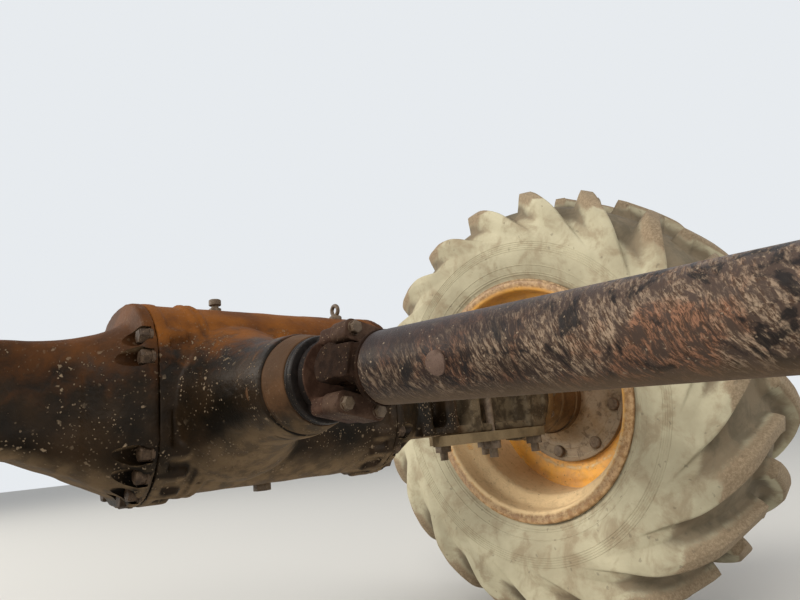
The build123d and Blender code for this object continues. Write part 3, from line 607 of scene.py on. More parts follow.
def turned(outline, segments=96, matrix=at_origin):
    """Mesh of a closed outline turned about local Z. Points on the axis close it."""
    turns = [2 * math.pi * k / segments for k in range(segments)]
    rings = []
    for along, radius in rounded(outline):
        if radius < 1e-6:
            rings.append([(0, 0, along)] * segments)
        else:
            rings.append([(radius * math.cos(a), radius * math.sin(a), along) for a in turns])
    mesh = skinned("turned", rings)
    mesh.transform(matrix)
    return mesh


# %% Cast and machined pieces
skin_grain = 0.03
melted_share = 0.55


def cad_copy(node):
    """The CAD solid as one closed mesh."""
    shape = bmesh.new()
    shape.from_mesh(nodes[node].data)
    bmesh.ops.remove_doubles(shape, verts=shape.verts, dist=1e-5)
    mesh = mesh_of(shape, node + "_copy")
    mesh.materials.clear()
    return mesh


def read_corners(mesh, label):
    """One row of x, y and z for each corner of a mesh, of its place (co) or its normal."""
    values = np.empty(len(mesh.vertices) * 3, dtype=np.float32)
    mesh.vertices.foreach_get(label, values)
    return values.reshape(-1, 3)


def cast(node, voxel, soften, extra=(), rough=0.0, pockets=None, kept_share=melted_share):
    """Melts the CAD solid and the extra lumps to one skin, softens its edges, keeps a share of its triangles,
    cuts pockets with a mesh and leaves the skin a little uneven."""
    source = linked("melting", joined(node, [cad_copy(node), *extra]))
    melt = source.modifiers.new("melt", "REMESH")
    melt.mode = "VOXEL"
    melt.voxel_size = voxel
    smooth = source.modifiers.new("soften", "SMOOTH")
    smooth.factor = 0.5
    smooth.iterations = soften
    thin = source.modifiers.new("thin", "DECIMATE")
    thin.ratio = kept_share
    if pockets:
        cutter = linked("cutter", pockets)
        cut = source.modifiers.new("pockets", "BOOLEAN")
        cut.operation = "DIFFERENCE"
        cut.solver = "MANIFOLD"
        cut.object = cutter
    mesh = settled(source, node)
    if pockets:
        bpy.data.objects.remove(cutter)
    if rough:
        places = read_corners(mesh, "co")
        lift = np.array([noise.noise(Vector(p) / skin_grain) for p in places])
        places -= read_corners(mesh, "normal") * ((lift + 0.5) * rough)[:, None]
        mesh.vertices.foreach_set("co", places.ravel())
    return mesh


def machined(node, width, segments):
    """The CAD solid with its sharp edges broken."""
    shape = bmesh.new()
    shape.from_mesh(cad_copy(node))
    bmesh.ops.dissolve_limit(shape, angle_limit=math.radians(1.5), verts=shape.verts, edges=shape.edges)
    source = linked("edges", mesh_of(shape, node))
    edges = source.modifiers.new("edges", "BEVEL")
    edges.width = width
    edges.segments = segments
    edges.limit_method = "ANGLE"
    edges.angle_limit = math.radians(32)
    return settled(source, node)


def keep_forged(name, node, finish, body, voxel, soften, extra=(), kept_share=melted_share):
    """A forging: melted at a fine voxel size, and smooth all over."""
    keep(name, cast(node, voxel, soften, extra, kept_share=kept_share), finish, body, (node,), sharp=0)


def keep_machined(name, node, finish, body, width=0.001, segments=2):
    keep(name, machined(node, width, segments), finish, body, (node,))


print("ways of making a piece: turned, cast, machined and grown")

# %% [markdown]
# Geometry Nodes trees are built here once and used for every ring and row of bolts and for the fine rings on
# the tyres. Each tree has named inputs, and ends by realizing what it placed and giving it a material.


# %% Trees
def new_tree(name, **inputs):
    """Tree with named inputs besides its geometry and material, and the sockets that bring them in."""
    tree = bpy.data.node_groups.new(name, "GeometryNodeTree")
    tree.interface.new_socket("Geometry", in_out="OUTPUT", socket_type="NodeSocketGeometry")
    for label, kind in {"Geometry": "Geometry", **inputs, "Material": "Material"}.items():
        tree.interface.new_socket(label, in_out="INPUT", socket_type="NodeSocket" + kind)
    return tree, tree.nodes.new("NodeGroupInput").outputs


def end_tree(tree, given, geometry):
    """Makes real what a tree placed, gives it the material and hands it out."""
    realized = add_node(tree, "GeometryNodeRealizeInstances", {0: geometry})
    painted = add_node(tree, "GeometryNodeSetMaterial", {"Geometry": realized, "Material": given["Material"]})
    add_node(tree, "NodeGroupOutput", {"Geometry": painted})
    return tree


def ring_tree():
    """Copies of a piece on a circle, each turned with it."""
    tree, given = new_tree("ring", Piece="Object", Count="Int", Radius="Float", Turn="Float")
    circle = add_node(tree, "GeometryNodeMeshCircle", {"Vertices": given["Count"], "Radius": given["Radius"]})
    piece = add_node(tree, "GeometryNodeObjectInfo", {"Object": given["Piece"]})
    index = add_node(tree, "GeometryNodeInputIndex")
    step = add_node(tree, "ShaderNodeMath", {0: 2 * math.pi, 1: given["Count"]}, operation="DIVIDE")
    angle = add_node(tree, "ShaderNodeMath", {0: index, 1: step}, operation="MULTIPLY")
    turn = add_node(tree, "ShaderNodeCombineXYZ", {"Z": angle})
    copies = add_node(tree, "GeometryNodeInstanceOnPoints", {
        "Points": circle, "Instance": piece.outputs["Geometry"], "Rotation": turn,
    })
    whole_turn = add_node(tree, "ShaderNodeCombineXYZ", {"Z": given["Turn"]})
    whole = add_node(tree, "GeometryNodeTransform", {"Geometry": copies, "Rotation": whole_turn})
    return end_tree(tree, given, whole)


def row_tree():
    """Copies of a piece on the points of the starting mesh, each turned at random about its own axis."""
    tree, given = new_tree("row", Piece="Object", Spread="Float")
    piece = add_node(tree, "GeometryNodeObjectInfo", {"Object": given["Piece"]})
    turn = add_node(tree, "FunctionNodeRandomValue", {3: given["Spread"]}, data_type="FLOAT")
    rotation = add_node(tree, "ShaderNodeCombineXYZ", {"Z": turn.outputs[1]})
    copies = add_node(tree, "GeometryNodeInstanceOnPoints", {
        "Points": given["Geometry"], "Instance": piece.outputs["Geometry"], "Rotation": rotation,
    })
    return end_tree(tree, given, copies)


def hoop_tree():
    """Thin hoops round local Z, one inside the other."""
    tree, given = new_tree("hoops", Count="Int", Radius="Float", Step="Float", Rise="Float", Thick="Float")
    rise = add_node(tree, "ShaderNodeCombineXYZ", {"Z": given["Rise"]})
    line = add_node(tree, "GeometryNodeMeshLine", {"Count": given["Count"], "Offset": rise})
    hoop = add_node(tree, "GeometryNodeCurvePrimitiveCircle", {"Resolution": 160, "Radius": 1.0})
    index = add_node(tree, "GeometryNodeInputIndex")
    size = add_node(
        tree, "ShaderNodeMath", {0: index, 1: given["Step"], 2: given["Radius"]}, operation="MULTIPLY_ADD"
    )
    copies = add_node(tree, "GeometryNodeInstanceOnPoints", {"Points": line, "Instance": hoop, "Scale": size})
    curves = add_node(tree, "GeometryNodeRealizeInstances", {0: copies})
    section = add_node(tree, "GeometryNodeCurvePrimitiveCircle", {"Resolution": 6, "Radius": given["Thick"]})
    skin = add_node(tree, "GeometryNodeCurveToMesh", {"Curve": curves, "Profile Curve": section})
    return end_tree(tree, given, skin)


def grown(tree, mesh, **values):
    """Mesh that a tree makes of a starting mesh, with the tree's inputs set by name."""
    source = linked("growing", mesh)
    step = source.modifiers.new("grow", "NODES")
    step.node_group = tree
    for item in tree.interface.items_tree:
        if item.item_type == "SOCKET" and item.in_out == "INPUT" and item.name in values:
            step[item.identifier] = values[item.name]
    return settled(source, tree.name)


ring_of = ring_tree()
row_of = row_tree()
hoops_of = hoop_tree()
print("trees:", ring_of.name, row_of.name, hoops_of.name)

# %% [markdown]
# Fasteners are made once, standing on local Z. A hexagon head has a washer under it and a chamfer round its
# top, which is the cone that the bar was turned to before the flats were cut.


# %% Fasteners
def hexagon(name, across, high, washer_r, washer_high, sunk=0.002):
    """Bolt head or nut on its washer, which starts a little below the seat at local zero."""
    corner = across / math.sqrt(3)
    chamfer_r = across / 2 * 0.97
    corner_top = washer_high + high * 0.84
    top = washer_high + high
    rings = [
        [(radius * math.cos(k * math.pi / 3), radius * math.sin(k * math.pi / 3), z) for k in range(6)]
        for z, radius in ((-sunk, corner), (corner_top, corner), (top, chamfer_r))
    ]
    shape = bmesh.new()
    shape.from_mesh(skinned("head", rings, looped=False))
    bmesh.ops.create_cone(
        shape, cap_ends=True, segments=20, radius1=washer_r, radius2=washer_r * 0.97, depth=washer_high + sunk,
        matrix=Matrix.Translation((0, 0, (washer_high - sunk) / 2)),
    )
    return mesh_of(shape, name)


def fastened(tree, piece_mesh, points, matrix, **values):
    """Plain mesh of the copies of a fastener that a tree places on some points, moved to a place."""
    piece = linked("fastener", piece_mesh)
    start = bpy.data.meshes.new("points")
    start.from_pydata(points, [], [])
    mesh = grown(tree, start, Piece=piece, Material=finishes["bolt_steel"], **values)
    bpy.data.objects.remove(piece)
    mesh.transform(matrix)
    return mesh


full_turn = 6.28
print("fasteners ready")

# %% [markdown]
# The housing and the arms are iron castings. Their voxel size is a compromise: small enough for the bosses and
# ribs to stay crisp, large enough to keep each casting under about a hundred thousand triangles. The flange
# between housing and arm is high with round corners, and the joint bolts sit on these corners.

# %% Housing
flange_half_depth = 0.130
flange_drop = 0.139
flange_rise = 0.183
flange_corner = 0.112
bolt_inset = 0.013
joint_bolt_angles = (4, 24, 156, 176, -20, -41, -65, -88, -115, -139, -160)
boss_r = 0.0145
boss_length = 0.046
boss_sink = 0.004
housing_voxel = 0.0034
casting_rough = 0.0010


def bolt_places(face_y):
    """Joint bolts sit on the round corners of the flange, a little inside its edge."""
    reach = flange_corner - bolt_inset
    places = []
    for angle in joint_bolt_angles:
        turn = math.radians(angle)
        corner_x = math.copysign(flange_half_depth - flange_corner, math.cos(turn))
        corner_z = axle_z + (flange_rise - flange_corner if angle > 0 else flange_corner - flange_drop)
        places.append(Vector((corner_x + reach * math.cos(turn), face_y, corner_z + reach * math.sin(turn))))
    return places


def moved_copy(mesh, matrix):
    one = mesh.copy()
    one.transform(matrix)
    return one


boss = turned((
    (-boss_sink, 0.0, 0), (-boss_sink, boss_r, 0), (boss_length, boss_r, 0.007), (boss_length, 0.0, 0),
), 24)
bosses = [
    moved_copy(boss, placed(place, (0, -s, 0), (0, 0, 1)))
    for side, s in sides for place in bolt_places(joint_faces[side] - s * boss_sink)
]
neck = turned((
    (0.080, 0.0, 0), (0.080, 0.130, 0), (0.118, 0.124, 0.02), (0.150, 0.105, 0.03), (0.215, 0.079, 0.02),
    (0.255, 0.0765, 0.01), (0.303, 0.0735, 0.003), (0.303, 0.0, 0),
), 64, placed(pinion_centre, (1, 0, 0), (0, 0, 1)))
housing_mesh = cast(
    "differential_housing", housing_voxel, 2, extra=(neck, joined("bosses", bosses)), rough=casting_rough
)
keep("housing", housing_mesh, "housing_casting", "axle", ("differential_housing",), sharp=0)

# %% [markdown]
# A breather and a lifting eye stand on top of the housing. Each is set on the highest corner that the
# casting's mesh has near its place, so it stands on the skin and not in the air.

# %% Fittings on the housing
fitting_sink = 0.0015


def top_of(mesh, x, y, reach=0.006):
    """Height of a mesh at x and y, read from its highest nearby corner."""
    places = read_corners(mesh, "co")
    near = (abs(places[:, 0] - x) < reach) & (abs(places[:, 1] - y) < reach)
    return float(places[near, 2].max())


def rod_ring(radius, thick, height, segments=28, around=10):
    """Closed ring of round rod that stands upright, with its middle at a height."""
    rings = []
    for k in range(segments):
        angle = 2 * math.pi * k / segments
        turns = [2 * math.pi * m / around for m in range(around)]
        reaches = [(radius + thick * math.cos(turn), thick * math.sin(turn)) for turn in turns]
        rings.append([(r * math.cos(angle), y, height + r * math.sin(angle)) for r, y in reaches])
    return skinned("rod_ring", rings)


breather = joined("breather", [
    hexagon("breather_base", 0.019, 0.008, 0.0125, 0.002),
    turned(((0.009, 0.0, 0), (0.009, 0.0065, 0.001), (0.014, 0.0065, 0.001), (0.015, 0.0110, 0.001),
            (0.026, 0.0110, 0.003), (0.026, 0.0, 0)), 24),
])
lifting_eye = joined("lifting_eye", [
    turned(((-0.004, 0.0, 0), (-0.004, 0.0130, 0.001), (0.005, 0.0130, 0.002), (0.008, 0.0080, 0.003),
            (0.012, 0.0, 0)), 24),
    rod_ring(0.0105, 0.0042, 0.0185),
])
for label, mesh, x, y in (("breather", breather, 0.012, 0.005), ("lifting_eye", lifting_eye, 0.030, 0.262)):
    mesh.transform(placed((x, y, top_of(housing_mesh, x, y) - fitting_sink), (0, 0, 1), (0, 1, 0)))
    keep(label, mesh, "bolt_steel", "axle", sharp=40)

# %% [markdown]
# Behind its joint flange each arm flares out to the full section, so the flange has no visible back. Every
# joint bolt sits in a pocket that a cutter has spot-faced into the flare. The flare is a loft of a few rounded
# sections, and the pockets are cut after the casting has been melted, so that they stay crisp.

# %% Flare and pockets
# Columns: distance from the joint face, half depth, drop and rise from the wheel axis, corner radius
flare_sections = (
    (0.000, 0.1290, 0.1380, 0.1820, 0.1110),
    (0.015, 0.1290, 0.1380, 0.1820, 0.1110),
    (0.026, 0.1270, 0.1210, 0.1450, 0.0960),
    (0.046, 0.1210, 0.1110, 0.1340, 0.0900),
    (0.070, 0.1080, 0.0990, 0.1260, 0.0800),
    (0.094, 0.0920, 0.0870, 0.1200, 0.0620),
)
pocket_r = 0.0165
pocket_floor = 0.0070
pocket = turned((
    (0.0, 0.0, 0), (0.0, pocket_r, 0), (0.024, pocket_r, 0.01), (0.056, 0.006, 0.004), (0.060, 0.0, 0),
), 28)


def casting_ring(half_depth, drop, rise, corner, y, steps=14):
    """Points round a rounded box section at y."""
    points = []
    for sx, sz, start in ((1, 1, 0), (-1, 1, 90), (-1, -1, 180), (1, -1, 270)):
        middle_x = sx * (half_depth - corner)
        middle_z = axle_z + (rise - corner if sz > 0 else corner - drop)
        for k in range(steps + 1):
            angle = math.radians(start + 90 * k / steps)
            points.append((middle_x + corner * math.cos(angle), y, middle_z + corner * math.sin(angle)))
    return points


print("each flare has", len(flare_sections), "sections and", len(joint_bolt_angles), "pockets")

# %% Arms
arm_voxel = 0.0044
joint_bolt = hexagon("joint_bolt", 0.022, 0.0150, 0.0138, 0.0030)
for side, s in sides:
    joint_y = joint_faces[side]
    floor_y = joint_y + s * pocket_floor
    rings = [casting_ring(*section, joint_y + s * offset) for offset, *section in flare_sections]
    flare = skinned("flare", rings, looped=False)
    places = bolt_places(floor_y)
    pockets = joined("pockets", [moved_copy(pocket, placed(place, (0, s, 0), (0, 0, 1))) for place in places])
    arm_mesh = cast(f"axle_arm_{side}", arm_voxel, 2, extra=(flare,), rough=casting_rough, pockets=pockets)
    keep(f"arm_{side}", arm_mesh, "arm_casting", "axle", (f"axle_arm_{side}",), sharp=45)
    seat_place = on_axis(floor_y, s)
    bolt_points = [seat_place.inverted() @ place for place in places]
    bolts = fastened(row_of, joint_bolt, bolt_points, seat_place, Spread=full_turn)
    keep(f"joint_bolts_{side}", bolts, "greasy_bolt_steel", "axle")
    keep_machined(f"bars_{side}", f"clamp_bars_{side}", "seat_casting", "axle", 0.003, 3)
    keep_machined(f"studs_of_seat_{side}", f"seat_studs_{side}", "bolt_steel", "axle")

# %% [markdown]
# The pinion's carrier closes the nose. The housing's neck covers its groove, and what shows is its last ring,
# its tapered end and a black seal. They are turned parts, so the lathe makes them, with the arcs that turning
# leaves at their corners.

# %% Nose
nose_place = placed(pinion_centre, (1, 0, 0), (0, 0, 1))
carrier_mesh = turned((
    (0.262, 0.0, 0), (0.262, 0.0748, 0.002), (0.274, 0.0748, 0.002), (0.274, 0.068, 0.001),
    (0.293, 0.068, 0.001), (0.293, 0.0700, 0.001), (0.308, 0.0690, 0.001), (0.310, 0.0705, 0.0015),
    (0.345, 0.0620, 0.002), (0.345, 0.0, 0),
), 128, nose_place)
keep("carrier", carrier_mesh, "nose_casting", "axle", ("pinion_carrier",), sharp=50)
seal_mesh = turned((
    (0.344, 0.0, 0), (0.344, 0.0600, 0.001), (0.349, 0.0605, 0.002), (0.351, 0.0585, 0.001),
    (0.353, 0.0605, 0.002), (0.359, 0.0590, 0.002), (0.359, 0.0, 0),
), 96, nose_place)
keep("seal", seal_mesh, "black_seal", "axle", ("pinion_seal",), sharp=50)
keep_machined("drain", "drain_plug", "bolt_steel", "axle")

# %% [markdown]
# The joint at the axle end is the mechanism that shows best: two bearing blocks are bolted to the flange of
# the pinion, the cross turns in them, and the yoke of the shaft carries the cross on its level pins. The
# forged pieces are melted at a fine voxel size, so that the inner corners fill as they do in a forging. Webs
# widen the yoke's two arms towards their root, and caps close its eyes flush.

# %% Joint at the axle end
# Columns: distance along the shaft, inner and outer distance along the pin, half width
web_sections = (
    (0.020, 0.031, 0.0495, 0.0195),
    (0.036, 0.030, 0.0470, 0.0265),
    (0.050, 0.016, 0.0440, 0.0290),
)
web_taper = 0.72


def web_of(way):
    """Lump that widens one arm of the yoke towards its round root."""
    across = shaft_dir.cross(level)
    rings = []
    for reach, inner, outer, half in web_sections:
        corners = ((inner, -half), (outer, -half * web_taper), (outer, half * web_taper), (inner, half))
        rings.append([
            joint_centre + shaft_dir * reach + level * (way * along_pin) + across * off
            for along_pin, off in corners
        ])
    return skinned("web", rings, looped=False)


def eye_cap(way):
    outline = ((0.0440, 0.0, 0), (0.0440, 0.0185, 0), (0.0500, 0.0185, 0.0008), (0.0500, 0.0, 0))
    return turned(outline, 32, placed(joint_centre, level * way, shaft_dir))


yoke_lumps = [web_of(-1), web_of(1), eye_cap(-1), eye_cap(1)]
keep_forged("yoke_axle_end", "shaft_yoke", "yoke_steel", "shaft", 0.0013, 5, yoke_lumps)
keep_forged("flange_of_pinion", "pinion_flange", "flange_steel", "pinion", 0.0015, 4)
keep_forged("blocks", "bearing_blocks", "block_steel", "pinion", 0.0013, 4)
keep_forged("cross_near", "cross_axle_end", "yoke_steel", "axle_end_cross", 0.0015, 4)

block_bolt = hexagon("block_bolt", 0.0150, 0.0065, 0.0095, 0.0018)
block_bolt_points = [(x, y, 0.0) for y in (-0.048, 0.048) for x in (-0.025, 0.025)]
block_place = placed(joint_centre + Vector((0.017, 0, 0)), (1, 0, 0), upright)
block_bolts = fastened(row_of, block_bolt, block_bolt_points, block_place, Spread=full_turn)
keep("block_bolts", block_bolts, "bolt_steel", "pinion")

# %% [markdown]
# The tube is welded to the yoke and to the splined stub. A bead of weld runs round each end, and a small round
# balance weight sits near the axle end.

# %% Shaft
shaft_place = placed(joint_centre, shaft_dir, upright)
tube_start = 0.056
tube_end = 0.796
tube_r = 0.045
bore_r = 0.040
chamfer_r = 0.0435
chamfer_length = 0.0025
weld_thick = 0.0026
weld_drops = 40
tube_mesh = turned((
    (tube_start, bore_r, 0), (tube_start, chamfer_r, 0.0005), (tube_start + chamfer_length, tube_r, 0.0005),
    (tube_end - chamfer_length, tube_r, 0.0005), (tube_end, chamfer_r, 0.0005), (tube_end, bore_r, 0),
), 128, shaft_place)
keep("tube", tube_mesh, "shaft_paint", "shaft", ("shaft_tube",), sharp=60)


def weld_bead(distance, seed, segments=150, around=8):
    """Bead of weld round the shaft, made of overlapping drops."""
    rings = []
    for k in range(segments):
        angle = 2 * math.pi * k / segments
        shift = noise.noise(Vector((math.cos(angle) * 3, math.sin(angle) * 3, seed)))
        drop = 0.5 + 0.5 * math.cos(angle * weld_drops + shift)
        swell = weld_thick * (0.82 + 0.18 * drop)
        ring = []
        for m in range(around):
            turn = 2 * math.pi * m / around
            r = tube_r + swell * 0.75 * math.cos(turn)
            ring.append((r * math.cos(angle), r * math.sin(angle), distance + swell * math.sin(turn)))
        rings.append(ring)
    return moved_copy(skinned("weld", rings), shaft_place)


welds_mesh = joined("welds", [weld_bead(tube_start, 1.0), weld_bead(tube_end, 2.0)])
keep("welds", welds_mesh, "yoke_steel", "shaft", sharp=0)
keep_machined("weight", "balance_weight", "weight_steel", "shaft", 0.0006)

# %% [markdown]
# Past the tube the shaft slides in the slip yoke. The cross and the flange at the far end keep all the
# triangles of their melted skin, because they pass each other closely when that joint bends.

# %% Slip joint and drive end
keep_machined("stub", "splined_stub", "spline_steel", "shaft")
keep_forged("yoke_drive_end", "slip_yoke", "shaft_paint", "slip", 0.0022, 3)
keep_machined("cap", "dust_cap", "spline_steel", "slip")
for name, node, body, voxel, soften in (
    ("cross_far", "cross_drive_end", "drive_end_cross", 0.0015, 4),
    ("flange_drive_end", "drive_flange", "drive_end", 0.0013, 5),
):
    keep_forged(name, node, "rusty_steel", body, voxel, soften, kept_share=1.0)

# %% [markdown]
# Each wheel has a fixed brake housing, a hub with eight studs, the reduction gear's drum outside and the rim.
# They are all turned forms about the wheel axis. Outlines give the distance from the tyre's middle, positive
# outboard, the radius and the fillet.

# %% Brakes, hubs and rims
brake_outline = (
    (-0.196, 0.0, 0), (-0.196, 0.112, 0.004), (-0.174, 0.112, 0.004), (-0.172, 0.100, 0.006),
    (-0.120, 0.100, 0.002), (-0.117, 0.1035, 0.002), (-0.108, 0.1035, 0.002), (-0.105, 0.100, 0.003),
    (-0.052, 0.100, 0.004), (-0.052, 0.104, 0.002), (-0.030, 0.104, 0.003), (-0.030, 0.072, 0.002),
    (0.034, 0.072, 0.002), (0.034, 0.0, 0),
)
hub_outline = (
    (0.039, 0.0, 0), (0.039, 0.0721, 0), (-0.025, 0.0721, 0.001), (-0.025, 0.092, 0.004),
    (0.007, 0.092, 0.012), (0.037, 0.136, 0.012), (0.037, 0.152, 0.002), (0.0385, 0.154, 0.001),
    (0.0385, 0.176, 0.001), (0.037, 0.178, 0.001), (0.037, 0.190, 0.003), (0.057, 0.190, 0.002),
    (0.057, 0.0, 0),
)
drum_outline = (
    (0.057, 0.0, 0), (0.057, 0.138, 0.001), (0.071, 0.138, 0.002), (0.073, 0.1335, 0.003),
    (0.112, 0.1320, 0.010), (0.135, 0.117, 0.008), (0.135, 0.100, 0.002), (0.1325, 0.098, 0.002),
    (0.1325, 0.086, 0.002), (0.135, 0.084, 0.001), (0.147, 0.084, 0.004), (0.147, 0.060, 0.004),
    (0.1445, 0.055, 0.003), (0.1445, 0.0, 0),
)
rim_outline = (
    (-0.1775, 0.326, 0.003), (-0.1745, 0.330, 0.004), (-0.1655, 0.330, 0.003), (-0.1655, 0.305, 0.008),
    (-0.1235, 0.3045, 0.010), (-0.093, 0.275, 0.012), (0.072, 0.275, 0.012), (0.1235, 0.3045, 0.010),
    (0.1655, 0.305, 0.008), (0.1655, 0.330, 0.003), (0.1745, 0.330, 0.004), (0.1775, 0.326, 0.003),
    (0.1775, 0.318, 0.004), (0.173, 0.298, 0.010), (0.1235, 0.295, 0.012), (0.072, 0.265, 0.014),
    (-0.093, 0.265, 0.014), (-0.1235, 0.295, 0.012), (-0.173, 0.298, 0.010), (-0.1775, 0.318, 0.004),
)
disc_outline = (
    (0.057, 0.140, 0.002), (0.057, 0.205, 0.006), (0.0545, 0.214, 0.010), (0.0545, 0.240, 0.010),
    (0.057, 0.250, 0.006), (0.057, 0.268, 0), (0.071, 0.268, 0), (0.071, 0.140, 0.002),
)
for side, s in sides:
    wheel_place = on_axis(s * half_track, s)
    for label, outline, finish, body, node in (
        ("brake", brake_outline, "brake_casting", "axle", "brake_housing"),
        ("hub", hub_outline, "hub_casting", f"wheel_{side}", "wheel_hub"),
        ("drum", drum_outline, "hub_casting", f"wheel_{side}", "hub_reduction"),
    ):
        mesh = turned(outline, 128, wheel_place)
        keep(f"{label}_{side}", mesh, finish, body, (f"{node}_{side}",), sharp=50)
    rim_mesh = joined("rim", [turned(rim_outline, 192, wheel_place), turned(disc_outline, 160, wheel_place)])
    keep(f"rim_of_{side}", rim_mesh, "rim_paint", f"wheel_{side}", (f"rim_{side}",), sharp=50)

# %% [markdown]
# A wheel stud is a round head inside, a shank through hub and disc and a nut outside. Smaller bolts hold the
# drum's cover and the brake housing's flange. All are rings about the wheel axis, so one tree places them.

# %% Wheel studs
stud_count = 8
stud_circle_r = 0.163
first_stud_angle = math.radians(14.5)
cover_bolt = hexagon("cover_bolt", 0.013, 0.006, 0.0085, 0.0015)
flange_bolt = hexagon("flange_bolt", 0.017, 0.008, 0.0105, 0.002)
nut = hexagon("wheel_nut", 0.030, 0.0175, 0.0170, 0.0030, sunk=0.0)
stud = joined("wheel_stud", [
    turned(((0.027, 0.0, 0), (0.027, 0.0140, 0.002), (0.0300, 0.0170, 0.002), (0.0375, 0.0172, 0),
            (0.0375, 0.0, 0)), 28),
    turned(((0.037, 0.0, 0), (0.037, 0.010, 0), (0.103, 0.010, 0.0015), (0.103, 0.0, 0)), 24),
    moved_copy(nut, Matrix.Translation((0, 0, 0.071))),
])
for side, s in sides:
    wheel_place = on_axis(s * half_track, s)
    first_stud = Vector((-math.cos(first_stud_angle), 0, math.sin(first_stud_angle)))
    local_stud = wheel_place.to_3x3().inverted() @ first_stud
    stud_turn = math.atan2(local_stud.y, local_stud.x)
    studs = fastened(ring_of, stud, (), wheel_place, Count=stud_count, Radius=stud_circle_r, Turn=stud_turn)
    keep(f"studs_{side}", studs, "bolt_steel", f"wheel_{side}", (f"wheel_studs_{side}",))
    # Columns: name, bolt, circle radius, distance from the tyre's middle, body
    for label, bolt, radius, outboard, body in (
        ("cover_bolts", cover_bolt, 0.108, 0.1355, f"wheel_{side}"),
        ("brake_bolts", flange_bolt, 0.1035, -0.174, "axle"),
    ):
        ring_place = on_axis(s * (half_track + outboard), s)
        bolts = fastened(ring_of, bolt, (), ring_place, Count=12, Radius=radius)
        keep(f"{label}_{side}", bolts, "bolt_steel", body)

# %% [markdown]
# A tyre is one skin whose height follows a rule. Two outlines run side by side from the middle of the tread to
# the bead: one for the carcass and one for the top of a lug. Each lug has a steep edge, a flat top and a long
# slope behind, and sweeps round the shoulder far down the side. The columns of the grid follow the steep edge,
# and stand closer there, so that it stays clean. What the rule says of each point is kept as an attribute, and
# the rubber's finish reads it: the tops are scuffed, and the gaps are painted dark as the shade between lugs.

# %% Shape of the tyre
lug_count = 18
lug_pitch = 360 / lug_count
lug_lap = 0.012
lug_rise = 0.9
lugs_from_r = 0.40
rows_outside = 54
# Columns: distance from the tyre's middle and radius of the carcass, the same of the top of a lug, then in
# degrees round the tyre the place of a lug's steep edge, the width of its top and the width of its long slope
skin_rows = np.array((
    (0.0000, 0.5460, 0.0000, 0.5880, -9.8, 4.0, 2.6),
    (0.0280, 0.5457, 0.0280, 0.5880, -8.8, 4.1, 2.8),
    (0.0600, 0.5450, 0.0600, 0.5878, -7.5, 4.2, 3.0),
    (0.0990, 0.5415, 0.0990, 0.5872, -5.6, 4.4, 3.6),
    (0.1500, 0.5290, 0.1500, 0.5830, -2.4, 4.8, 5.0),
    (0.1760, 0.5090, 0.1800, 0.5640, 1.8, 5.0, 6.5),
    (0.1880, 0.4880, 0.1975, 0.5350, 8.0, 4.6, 8.0),
    (0.1950, 0.4680, 0.2022, 0.5000, 12.8, 4.0, 8.5),
    (0.1985, 0.4500, 0.2016, 0.4680, 18.5, 3.6, 8.5),
    (0.1992, 0.4280, 0.1996, 0.4340, 27.0, 3.4, 8.0),
    (0.1960, 0.4020, 0.1960, 0.4020, 31.0, 3.4, 8.0),
    (0.1888, 0.3760, 0.1888, 0.3760, 31.0, 3.4, 8.0),
    (0.1785, 0.3530, 0.1785, 0.3530, 31.0, 3.4, 8.0),
    (0.1705, 0.3390, 0.1705, 0.3390, 31.0, 3.4, 8.0),
    (0.1653, 0.3330, 0.1653, 0.3330, 31.0, 3.4, 8.0),
))
# Distance from the tyre's middle and radius of the corners inside the tyre, from the bead inwards
inside_rows = ((0.1651, 0.3054), (0.1340, 0.3054), (0.1650, 0.4200), (0.1400, 0.5050), (0.0800, 0.5150))
# Columns of the grid in half a pitch, in degrees from a lug's steep edge
column_steps = (0.0, 0.3, 0.6, 0.9, 1.5, 2.3, 3.1, 3.9, 4.6, 5.3, 6.0, 6.8, 7.6, 8.4, 9.2)
print("a lug every", lug_pitch, "degrees, on a grid of", 2 * lug_count * len(column_steps), "columns")


# %% Skin of the tyre
def columns_at(table, places, wanted):
    """Each column of a table, read between its rows: places are those of the rows, wanted those to read."""
    return np.stack([np.interp(wanted, places, column) for column in table.T], axis=1)


def across_middle(rows):
    """Rows on the other side of the tyre's middle, the middle row left out."""
    mirrored = rows[:0:-1].copy()
    mirrored[:, (0, 2)] *= -1
    return mirrored


def smooth_rows(rows, count, dense_count=640, window=41):
    """The rows at even steps, their corners eased."""
    dense = columns_at(rows, np.arange(len(rows)), np.linspace(0, len(rows) - 1, dense_count))
    before = across_middle(dense[:window])
    before[:, 4] = 2 * dense[0, 4] - before[:, 4]
    padded = np.concatenate((before, dense, np.repeat(dense[-1:], window - 1, axis=0)))
    kernel = np.hanning(window + 2)[1:-1]
    kernel /= kernel.sum()
    eased = np.stack([np.convolve(column, kernel, "same") for column in padded.T], axis=1)
    eased = eased[window - 1:window - 1 + len(dense)]
    eased[-1] = dense[-1]
    steps = np.linalg.norm(np.diff(eased[:, 2:4], axis=0), axis=1) + 1e-9
    length = np.concatenate(([0], np.cumsum(steps)))
    return columns_at(eased, length, np.linspace(0, length[-1], count))


def step_up(value, low, high):
    """0 up to low, 1 from high on, and a smooth rise between them."""
    t = np.clip((value - low) / (high - low), 0, 1)
    return t * t * (3 - 2 * t)


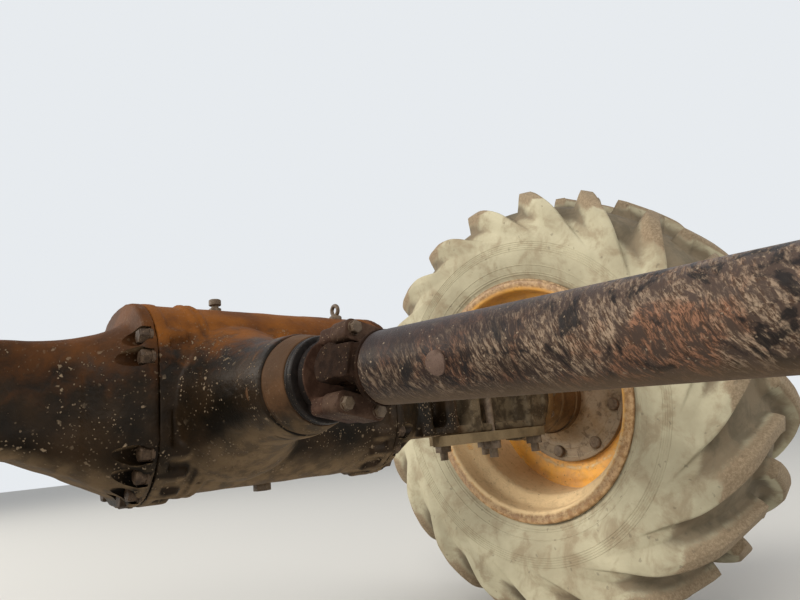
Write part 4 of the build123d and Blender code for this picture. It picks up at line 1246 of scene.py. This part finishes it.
def lug_cover(angle, rows, top_fade=1.2):
    """How much of a lug there is at each point of the grid, and how much of that is its flat top."""
    cover = np.zeros_like(angle)
    tops = np.zeros_like(angle)
    edge, top, slope = (rows[:, k:k + 1] for k in (4, 5, 6))
    for way, shift in ((1, 0.0), (-1, 0.5)):
        off = (angle - edge - shift * lug_pitch + 1e-4) % lug_pitch
        rise = step_up(off, 0, lug_rise)
        fall = np.clip((off - top) / slope, 0, 1)
        fall = 0.5 * fall + 0.5 * step_up(off, top, top + slope)
        ended = step_up(rows[:, 2:3] * way, -lug_lap - 0.005, -lug_lap + 0.003)
        cover = np.maximum(cover, rise * (1 - fall) * ended)
        tops = np.maximum(tops, rise * (1 - step_up(off, top, top + top_fade)) * ended)
    return cover, tops


def tyre_mesh(centre_y):
    """Skin of a tyre with its lugs, with how much of a lug's top and how much of a gap each point is."""
    half = smooth_rows(skin_rows, rows_outside)
    skin = np.concatenate((across_middle(half), half))
    inner_places = [(y, r) for y, r in inside_rows] + [(-y, r) for y, r in reversed(inside_rows)]
    inner = np.array([(y, r, y, r, *skin_rows[-1, 4:]) for y, r in inner_places])
    rows = np.concatenate((skin, inner))
    turn = np.array([
        half_pitch * lug_pitch / 2 + step for half_pitch in range(2 * lug_count) for step in column_steps
    ])
    angle = turn[None, :] + rows[:, 4:5]
    outer = ((np.arange(len(rows)) < len(skin)) & (rows[:, 1] > lugs_from_r))[:, None]
    cover, tops = lug_cover(angle, rows)
    cover = cover * outer
    y = rows[:, 0:1] * (1 - cover) + rows[:, 2:3] * cover
    r = rows[:, 1:2] * (1 - cover) + rows[:, 3:4] * cover
    bearing = np.radians(angle)
    places = np.stack((r * np.sin(bearing), y + centre_y, r * np.cos(bearing) + axle_z), axis=-1)
    mesh = skinned("tyre", places.tolist())
    contact = step_up(rows[:, 3:4], 0.535, 0.560) * outer
    gaps = (1 - cover) * outer * step_up(rows[:, 1:2], 0.470, 0.520)
    for label, values in (("lug_top", tops * contact), ("lug_gap", gaps)):
        layer = mesh.attributes.new(label, "FLOAT", "POINT")
        layer.data.foreach_set("value", np.ascontiguousarray(values, dtype=np.float32).ravel())
    return mesh


# %% Tyres and their fine rings
# Columns: how many hoops, radius, step out, distance from the tyre's middle, step away, thickness
side_hoops = (
    (2, 0.3430, 0.0060, 0.1726, 0.0031, 0.0014),
    (1, 0.3680, 0.0, 0.1845, 0.0, 0.0016),
    (5, 0.4080, 0.0055, 0.1968, 0.0006, 0.0009),
)
for side, s in sides:
    body = f"wheel_{side}"
    rubber = tyre_mesh(s * half_track)
    keep(f"tyre_of_{side}", rubber, "tyre_rubber", body, (f"tyre_{side}",), sharp=0)
    hoops = []
    for face in (-1, 1):
        for count, radius, step, start_y, rise, thick in side_hoops:
            hoop = grown(hoops_of, bpy.data.meshes.new("point"), Count=count, Radius=radius, Step=step,
                         Rise=rise, Thick=thick, Material=finishes["tyre_rubber"])
            hoop.transform(on_axis(s * half_track + face * start_y, face))
            hoops.append(hoop)
    keep(f"side_rings_{side}", joined("hoops", hoops), "tyre_rubber", body, sharp=0)
